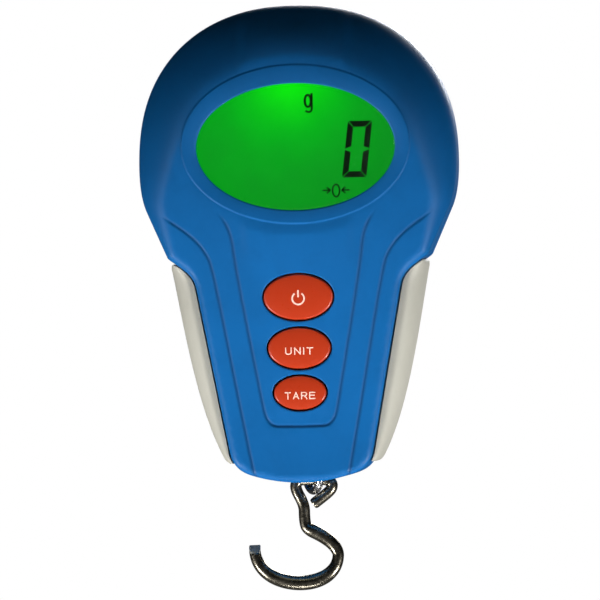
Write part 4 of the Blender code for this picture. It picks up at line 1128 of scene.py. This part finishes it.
def grips():
    """Cream side grips: flat against the case, rounded outside, with rolled-over ends."""
    sections, around, end = 90, 40, 1.6
    for name, side in (("left", -1), ("right", 1)):
        rings = []
        for i in range(sections):
            share = i / (sections - 1)
            z = GRIP_TOP + (GRIP_BOTTOM - GRIP_TOP) * (1 - math.cos(math.pi * share)) / 2
            inner = flank_x(z) + GRIP_GAP
            width = max(grip_outer_x(z) - inner, 0.8)
            near_end = max(0.0, 1 - min(GRIP_TOP - z, z - GRIP_BOTTOM) / end)
            roll = 1 - math.sqrt(max(1 - near_end**2, 0.0))
            half = GRIP_HALF_DEPTH - 0.8 * roll
            width = max(width - 0.9 * roll, 0.6)
            ring = []
            for k in range(around + 1):
                angle = -math.pi / 2 + math.pi * k / around
                across = width * max(math.cos(angle), 0.0) ** 0.7
                along = half * math.copysign(abs(math.sin(angle)) ** 0.7, angle)
                ring.append((side * (inner + across), GRIP_MIDDLE_Y + along, z))
            rings.append(ring)
        mesh = loft(f"{name}_fine_grip", rings, 42.0)
        add_piece(f"{name}_fine_grip", mesh, "case", "grip_cream", [f"{name}_grip"])


# ---------------------------------------------------------------- window, display and keys

def scaled_ellipse(half, center_z, grow, y, count=160):
    """A ring of an ellipse grown by an amount, at one depth."""
    ring = []
    for a in around(count):
        normal = Vector((half[1] * math.cos(a), half[0] * math.sin(a))).normalized()
        x, z = half[0] * math.cos(a) + normal.x * grow, half[1] * math.sin(a) + normal.y * grow
        ring.append((x, y, center_z + z))
    return ring


def window_lens():
    """The clear window: a plug with a small bevel in front, on a thin flange behind the case."""
    half, z = WINDOW_HALF, WINDOW_Z
    front, back, flange = -15.6, -12.7, -13.8
    rings = [[(0.0, front, z)]]
    rings += [scaled_ellipse((half[0] * s, half[1] * s), z, 0.0, front) for s in (0.3, 0.6, 0.85)]
    rings += [scaled_ellipse(half, z, grow, y) for grow, y in (
        (-0.75, front), (-0.42, front + 0.06), (-GAP, front + 0.25), (-GAP, flange), (1.55, flange),
        (1.7, flange + 0.15), (1.7, back - 0.15), (1.55, back), (-1.0, back))]
    rings += [[(0.0, back, z)]]
    add_piece("fine_window", loft("fine_window", rings, 35.0), "case", "window_clear", ["window_lens"])


def polygon_piece(name, outlines, y, thickness, body, slot, material, surface=None):
    """Flat printed or etched shapes given as convex outlines in (x, z), all in one piece."""
    vertices, faces = [], []
    for outline in outlines:
        first, count = len(vertices), len(outline)
        for back in (0.0, thickness):
            for x, z in outline:
                depth = surface(x, z) if surface else y
                vertices.append((x, depth + back, z))
        faces.append([first + i for i in range(count)])
        faces.append([first + count + i for i in reversed(range(count))])
        for i in range(count):
            j = (i + 1) % count
            faces.append((first + i, first + count + i, first + count + j, first + j))
    return add_piece(name, smooth(faced(name, vertices, faces), 30.0), body, slot, (), material)


def slanted(outline, lean, base):
    return [(x + (z - base) * lean, z) for x, z in outline]


def arc_strokes(center, radius, start, end, steps, width):
    """An arc as short flat strokes with square ends. The radius may be a pair, across and up."""
    across, up = radius if isinstance(radius, tuple) else (radius, radius)
    strokes = []
    for i in range(steps):
        corners = []
        for k, out in ((i, -1), (i, 1), (i + 1, 1), (i + 1, -1)):
            a = math.radians(start + (end - start) * k / steps)
            corners.append((center[0] + (across + out * width / 2) * math.cos(a),
                            center[1] + (up + out * width / 2) * math.sin(a)))
        strokes.append(corners)
    return strokes


def stroke(start, end, width):
    """A straight stroke with square ends."""
    a, b = Vector(start), Vector(end)
    along = (b - a).normalized()
    side = Vector((-along.y, along.x)) * width / 2
    return [tuple(p) for p in (a - side, a + side, b + side, b - side)]


def display_marks():
    """Liquid crystal marks: a slanted seven-segment nought, the gram sign and the zero mark below."""
    lean = 0.124
    y = LCD_FACE - 0.10
    left, right, low, high = 11.88, 18.2, -4.85, 9.8
    middle, width, gap = (low + high) / 2, 1.55, 0.09
    inner_left, inner_right = left + width, right - width
    segments = []
    for edge, side in ((high, -1), (low, 1)):
        inner = edge + side * width
        segments.append([(left + 2 * gap, edge), (right - 2 * gap, edge), (inner_right - gap, inner),
                         (inner_left + gap, inner)])
    for outer_x, inner_x in ((left, inner_left), (right, inner_right)):
        for edge, side in ((high, -1), (low, 1)):
            middle_end = middle - side * gap * 2
            segments.append([(outer_x, edge + side * 2 * gap), (inner_x, edge + side * (width + gap)),
                             (inner_x, middle_end - side * width * 0.35), (outer_x, middle_end)])
    segments = [slanted(s, lean, low) for s in segments]
    gram_x, gram_z = 3.35, 15.25
    gram = arc_strokes((gram_x, gram_z), (0.8, 1.55), 0, 360, 20, 0.6)
    gram += [stroke((gram_x + 1.0, gram_z + 2.0), (gram_x + 1.0, gram_z - 2.1), 0.55)]
    gram += arc_strokes((gram_x + 0.15, gram_z - 2.05), (0.85, 0.85), 0, -150, 8, 0.5)
    zero_x, zero_z = 10.25, -8.2
    zero = arc_strokes((zero_x, zero_z), (0.92, 1.6), 0, 360, 22, 0.38)
    for side in (-1, 1):
        tip, tail = zero_x + side * 1.45, zero_x + side * 3.55
        zero.append(stroke((tip, zero_z + 0.1), (tail, zero_z + 0.1), 0.36))
        for rise in (-0.8, 0.8):
            zero.append(stroke((tip, zero_z + 0.1), (tip + side * 1.0, zero_z + 0.1 + rise), 0.36))
    polygon_piece("display_marks", segments + gram + zero, y, 0.06, "case", "lcd_glass", "lcd_on")


def key_surface(name):
    """Depth of a key's domed top at a point."""
    _, z0, half_width, half_height = next(k for k in KEYS if k[0] == name)

    def depth(x, z):
        level = (x / half_width) ** 2 + ((z - z0) / half_height) ** 2
        return -FRONT_DEPTH - KEY_CROWN * math.sqrt(max(1 - level * 0.94, 0.0))
    return depth


def keys():
    """Key caps: a straight side, a small rounded edge and a low dome, with a flange behind."""
    for name, z, half_width, half_height in KEYS:
        half = (half_width, half_height)
        surface = key_surface(name)
        rings = [[(0.0, -12.9, z)]]
        for grow, y in ((0.55, -12.9), (0.68, -13.0), (0.68, -13.8), (0.55, -13.9), (0.0, -13.9)):
            rings.append(scaled_ellipse(half, z, grow, y, 96))
        rim = surface(half_width, z)
        for grow, y in ((0.0, rim + 0.45), (-0.03, rim + 0.22), (-0.12, rim + 0.08)):
            rings.append(scaled_ellipse(half, z, grow, y, 96))
        for s in (0.965, 0.93, 0.88, 0.8, 0.7, 0.58, 0.45, 0.3, 0.15):
            ring = scaled_ellipse((half_width * s, half_height * s), z, 0.0, 0.0, 96)
            rings.append([(x, surface(x, h), h) for x, _, h in ring])
        rings.append([(0.0, surface(0.0, z), z)])
        mesh = loft(f"{name}_cap", rings, 45.0)
        add_piece(f"{name}_cap", mesh, f"{name}_key", "key_red", [f"{name}_key"])


LETTERS = {
    "U": [((0, 1), (0, 0.32)), ((1, 1), (1, 0.32)), "bowl"],
    "N": [((0, 0), (0, 1)), ((0, 1), (1, 0)), ((1, 0), (1, 1))],
    "I": [((0.5, 0), (0.5, 1))],
    "T": [((0, 1), (1, 1)), ((0.5, 1), (0.5, 0))],
    "A": [((0, 0), (0.5, 1)), ((0.5, 1), (1, 0)), ((0.2, 0.34), (0.8, 0.34))],
    "R": [((0, 0), (0, 1)), ((0, 1), (0.62, 1)), ((0, 0.5), (0.62, 0.5)), ((0.5, 0.5), (1, 0)), "lobe"],
    "E": [((0, 0), (0, 1)), ((0, 1), (1, 1)), ((0, 0.53), (0.88, 0.53)), ((0, 0), (1, 0))],
}


def word(text, center_x, center_z, height, letter_width, spacing, weight):
    """Capitals drawn with plain strokes of one weight."""
    widths = [weight if c == "I" else letter_width for c in text]
    total = sum(widths) + spacing * (len(text) - 1)
    left = center_x - total / 2
    strokes = []
    for character, width in zip(text, widths):
        half = weight / 2
        inner_w, inner_h = max(width - weight, 0.0), height - weight

        def at(u, v):
            return (left + half + u * inner_w, center_z - height / 2 + half + v * inner_h)

        for line in LETTERS[character]:
            if line == "bowl":
                middle = at(0.5, 0.32)
                strokes += arc_strokes(middle, (inner_w / 2, 0.32 * inner_h), 180, 360, 12, weight)
            elif line == "lobe":
                middle = at(0.62, 0.75)
                strokes += arc_strokes(middle, (0.38 * inner_w, 0.25 * inner_h), -90, 90, 10, weight)
            else:
                start, end = Vector(at(*line[0])), Vector(at(*line[1]))
                along = (end - start).normalized() * half
                long_stroke = (start - along, end + along)
                steps = 3
                for k in range(steps):
                    a = long_stroke[0].lerp(long_stroke[1], k / steps)
                    b = long_stroke[0].lerp(long_stroke[1], (k + 1) / steps)
                    strokes.append(stroke(a, b, weight))
        left += width + spacing
    return strokes


def legends():
    """Generic marks printed on the keys: a power sign, UNIT and TARE."""
    sign_z = KEYS[0][1] - 0.4
    power = arc_strokes((0.0, sign_z), 1.55, 125, 415, 24, 0.42)
    power += [stroke((0.0, sign_z + 0.35), (0.0, sign_z + 2.2), 0.42)]
    marks = {
        "power": power,
        "unit": word("UNIT", 0.0, KEYS[1][1] - 0.75, 1.9, 1.72, 0.62, 0.29),
        "tare": word("TARE", 0.0, KEYS[2][1] - 0.75, 1.9, 1.62, 0.5, 0.29),
    }
    for name, strokes in marks.items():
        surface = key_surface(name)
        polygon_piece(f"{name}_legend", strokes, 0.0, 0.03, f"{name}_key", "key_red", "legend",
                      lambda x, z, surface=surface: surface(x, z) - 0.03)


# ---------------------------------------------------------------- suspension

def swept(name, points, radii, sides, flat=None, closed=False):
    """A round wire along points. The radii may vary; flat may move the points of a ring."""
    points = [Vector(p) for p in points]
    count = len(points)
    rings = []
    frame_x = None
    for i, point in enumerate(points):
        before = points[i - 1] if i > 0 or closed else point
        after = points[(i + 1) % count] if i < count - 1 or closed else point
        ahead = (after - before).normalized()
        if frame_x is None:
            frame_x = ahead.orthogonal().normalized()
        frame_x = (frame_x - ahead * frame_x.dot(ahead)).normalized()
        frame_y = ahead.cross(frame_x)
        ring = [point + (frame_x * math.cos(a) + frame_y * math.sin(a)) * radii[i] for a in around(sides)]
        rings.append([tuple(p) for p in (flat(i, ring) if flat else ring)])
    if closed:
        rings.append(rings[0])
        mesh = loft(name, rings, caps=(False, False))
        bm = bmesh.new()
        bm.from_mesh(mesh)
        bmesh.ops.remove_doubles(bm, verts=bm.verts, dist=1e-4)
        return finished(name, bm)
    return loft(name, rings)


def hook_route():
    """The hook's centreline in (x, z): cut end, eye, shank, bend, bowl and cut tip."""
    (left, right), top = HOOK_EYE, HOOK_TOP
    bowl_end, tip = (-13.65, -101.9), (-13.7, -100.3)
    points = chained(
        (1.8, -89.95),
        (24, (right - 0.7, -86.7), (right - 0.05, -86.2), (right, -85.0)),
        (16, (right - 0.2, top - 0.1), (right - 2.6, top)),
        (8, (3.0, top), (left + 1.9, top)),
        (16, (left + 0.1, top), (left, -85.2)),
        (20, (left + 0.1, -87.2), (-0.55, -88.8), (-0.5, -91.6)),
        (12, (-0.52, -94.6), (-0.1, -95.6)),
        (10, (0.3, -96.2), (1.8, -96.95)),
        (24, (4.9, -98.5), (7.6, -100.4), (8.15, -103.0)),
        (32, (8.15, -107.6), (3.9, -110.4), (-1.6, -110.4)),
        (32, (-7.9, -110.4), (-13.3, -107.2), bowl_end))
    return points + [bowl_end, tip]


def hook():
    """A bent wire hook, thicker where its bowl lies level.

    Its tip is cut off at a slant that faces forward, and its other end square.
    """
    route = resampled(hook_route(), 0.35)
    path = np.array(route)
    ahead = np.gradient(path, axis=0)
    level = (ahead[:, 0] / np.linalg.norm(ahead, axis=1)) ** 2
    share = np.clip((HOOK_SWELL_Z - path[:, 1]) / HOOK_SWELL_LENGTH, 0.0, 1.0)
    radii = HOOK_WIRE + HOOK_SWELL * level * smoothstep(share)
    radii[0] -= 0.25
    radii[1] -= 0.06
    radii[-1] -= 0.12
    slant = 7  # steps of the slanted cut

    def cut_tip(i, ring):
        into = i - (len(route) - 1 - slant)
        if into <= 0:
            return ring
        limit = LOAD_Y - HOOK_WIRE + 1.7 * HOOK_WIRE * into / slant
        return [Vector((p.x, max(p.y, limit), p.z)) for p in ring]

    mesh = swept("hook_wire", [(x, LOAD_Y, z) for x, z in route], radii, 32, cut_tip)
    tip = [face for face in mesh.polygons if face.center.z > route[-slant][1] and face.center.x < -10]
    cut_faces = [face.index for face in tip if face.normal.y < -0.6 and face.normal.z > 0.1]
    add_piece("hook_wire", mesh, "hook", "black_nickel", ["hook"])
    # the cut faces of the tip take the bare, partly painted-bright cut end
    mesh.materials.append(MATERIALS["cut_wire"])
    for index in cut_faces:
        mesh.polygons[index].material_index = 1


def load_eye():
    """The turned ring with its shank, which widens where the two meet."""
    ring = []
    steps = 96
    for a in around(steps):
        out = EYE_RADIUS * math.cos(a)
        ring.append((LOAD_X + out * math.sin(EYE_TWIST), LOAD_Y - out * math.cos(EYE_TWIST),
                     EYE_Z + EYE_RADIUS * math.sin(a)))
    mesh = swept("eye_ring", ring, [EYE_WIRE] * steps, 24, closed=True)
    top = EYE_Z + EYE_RADIUS
    profile = [(0.0, -68.6), (1.3, -68.6), (1.5, -68.8), (1.5, top + 2.4), (1.35, top + 1.6),
               (1.3, top + 0.9), (1.25, top - 0.3), (0.0, top - 0.5)]
    shank = turned("eye_shank", profile, lambda u, v, h: (LOAD_X + u, LOAD_Y + v, h), 32)
    mesh = carved("fine_eye", mesh, [], [shank], 50.0)
    add_piece("fine_eye", mesh, "load_eye", "bright_steel", ["load_eye"])


# ---------------------------------------------------------------- battery cells and springs

def cells():
    """Two cells that face opposite ways: a raised plus cap, rolled shoulders and a dished minus end."""
    profile = [(0, 22.25), (1.75, 22.25), (1.9, 22.1), (1.9, 21.3), (3.9, 21.15), (4.9, 20.95), (5.2, 20.6),
               (CELL_RADIUS, 20.2), (CELL_RADIUS, -21.4), (5.15, -21.9), (4.9, -22.15), (4.3, -22.25),
               (3.9, -22.05), (0, -22.05)]
    for name, z, side in zip(("upper", "lower"), CELL_HEIGHTS, (-1, 1)):
        mesh = turned(
            name, profile, lambda u, v, h, z=z, side=side: (side * (CELL_SHIFT + h), CELL_Y + u, z + v), 48)
        add_piece(f"fine_cell_{name}", mesh, "case", "battery_jacket", [f"battery_{name}"])
        # the spring runs from the minus end towards the bay's wall and widens on the way
        start, end = -side * 19.7, -side * 24.9
        turns, per_turn = 3, 24
        points = []
        for i in range(turns * per_turn + 1):
            share = i / (turns * per_turn)
            a = 2 * math.pi * i / per_turn
            radius = 2.2 + 1.6 * share
            x = start + (end - start) * share
            points.append((x, CELL_Y + radius * math.cos(a), z + radius * math.sin(a)))
        spring = swept(f"fine_spring_{name}", points, [0.35] * len(points), 12)
        add_piece(f"fine_spring_{name}", spring, "case", "bright_steel", [f"spring_{name}"])


# ---------------------------------------------------------------- build

def build():
    repaint_nodes()
    front_shell()
    rear_shell()
    seam_tongue()
    battery_door()
    screws()
    grips()
    window_lens()
    display_marks()
    keys()
    legends()
    hook()
    load_eye()
    cells()


camera()
studio()
build()
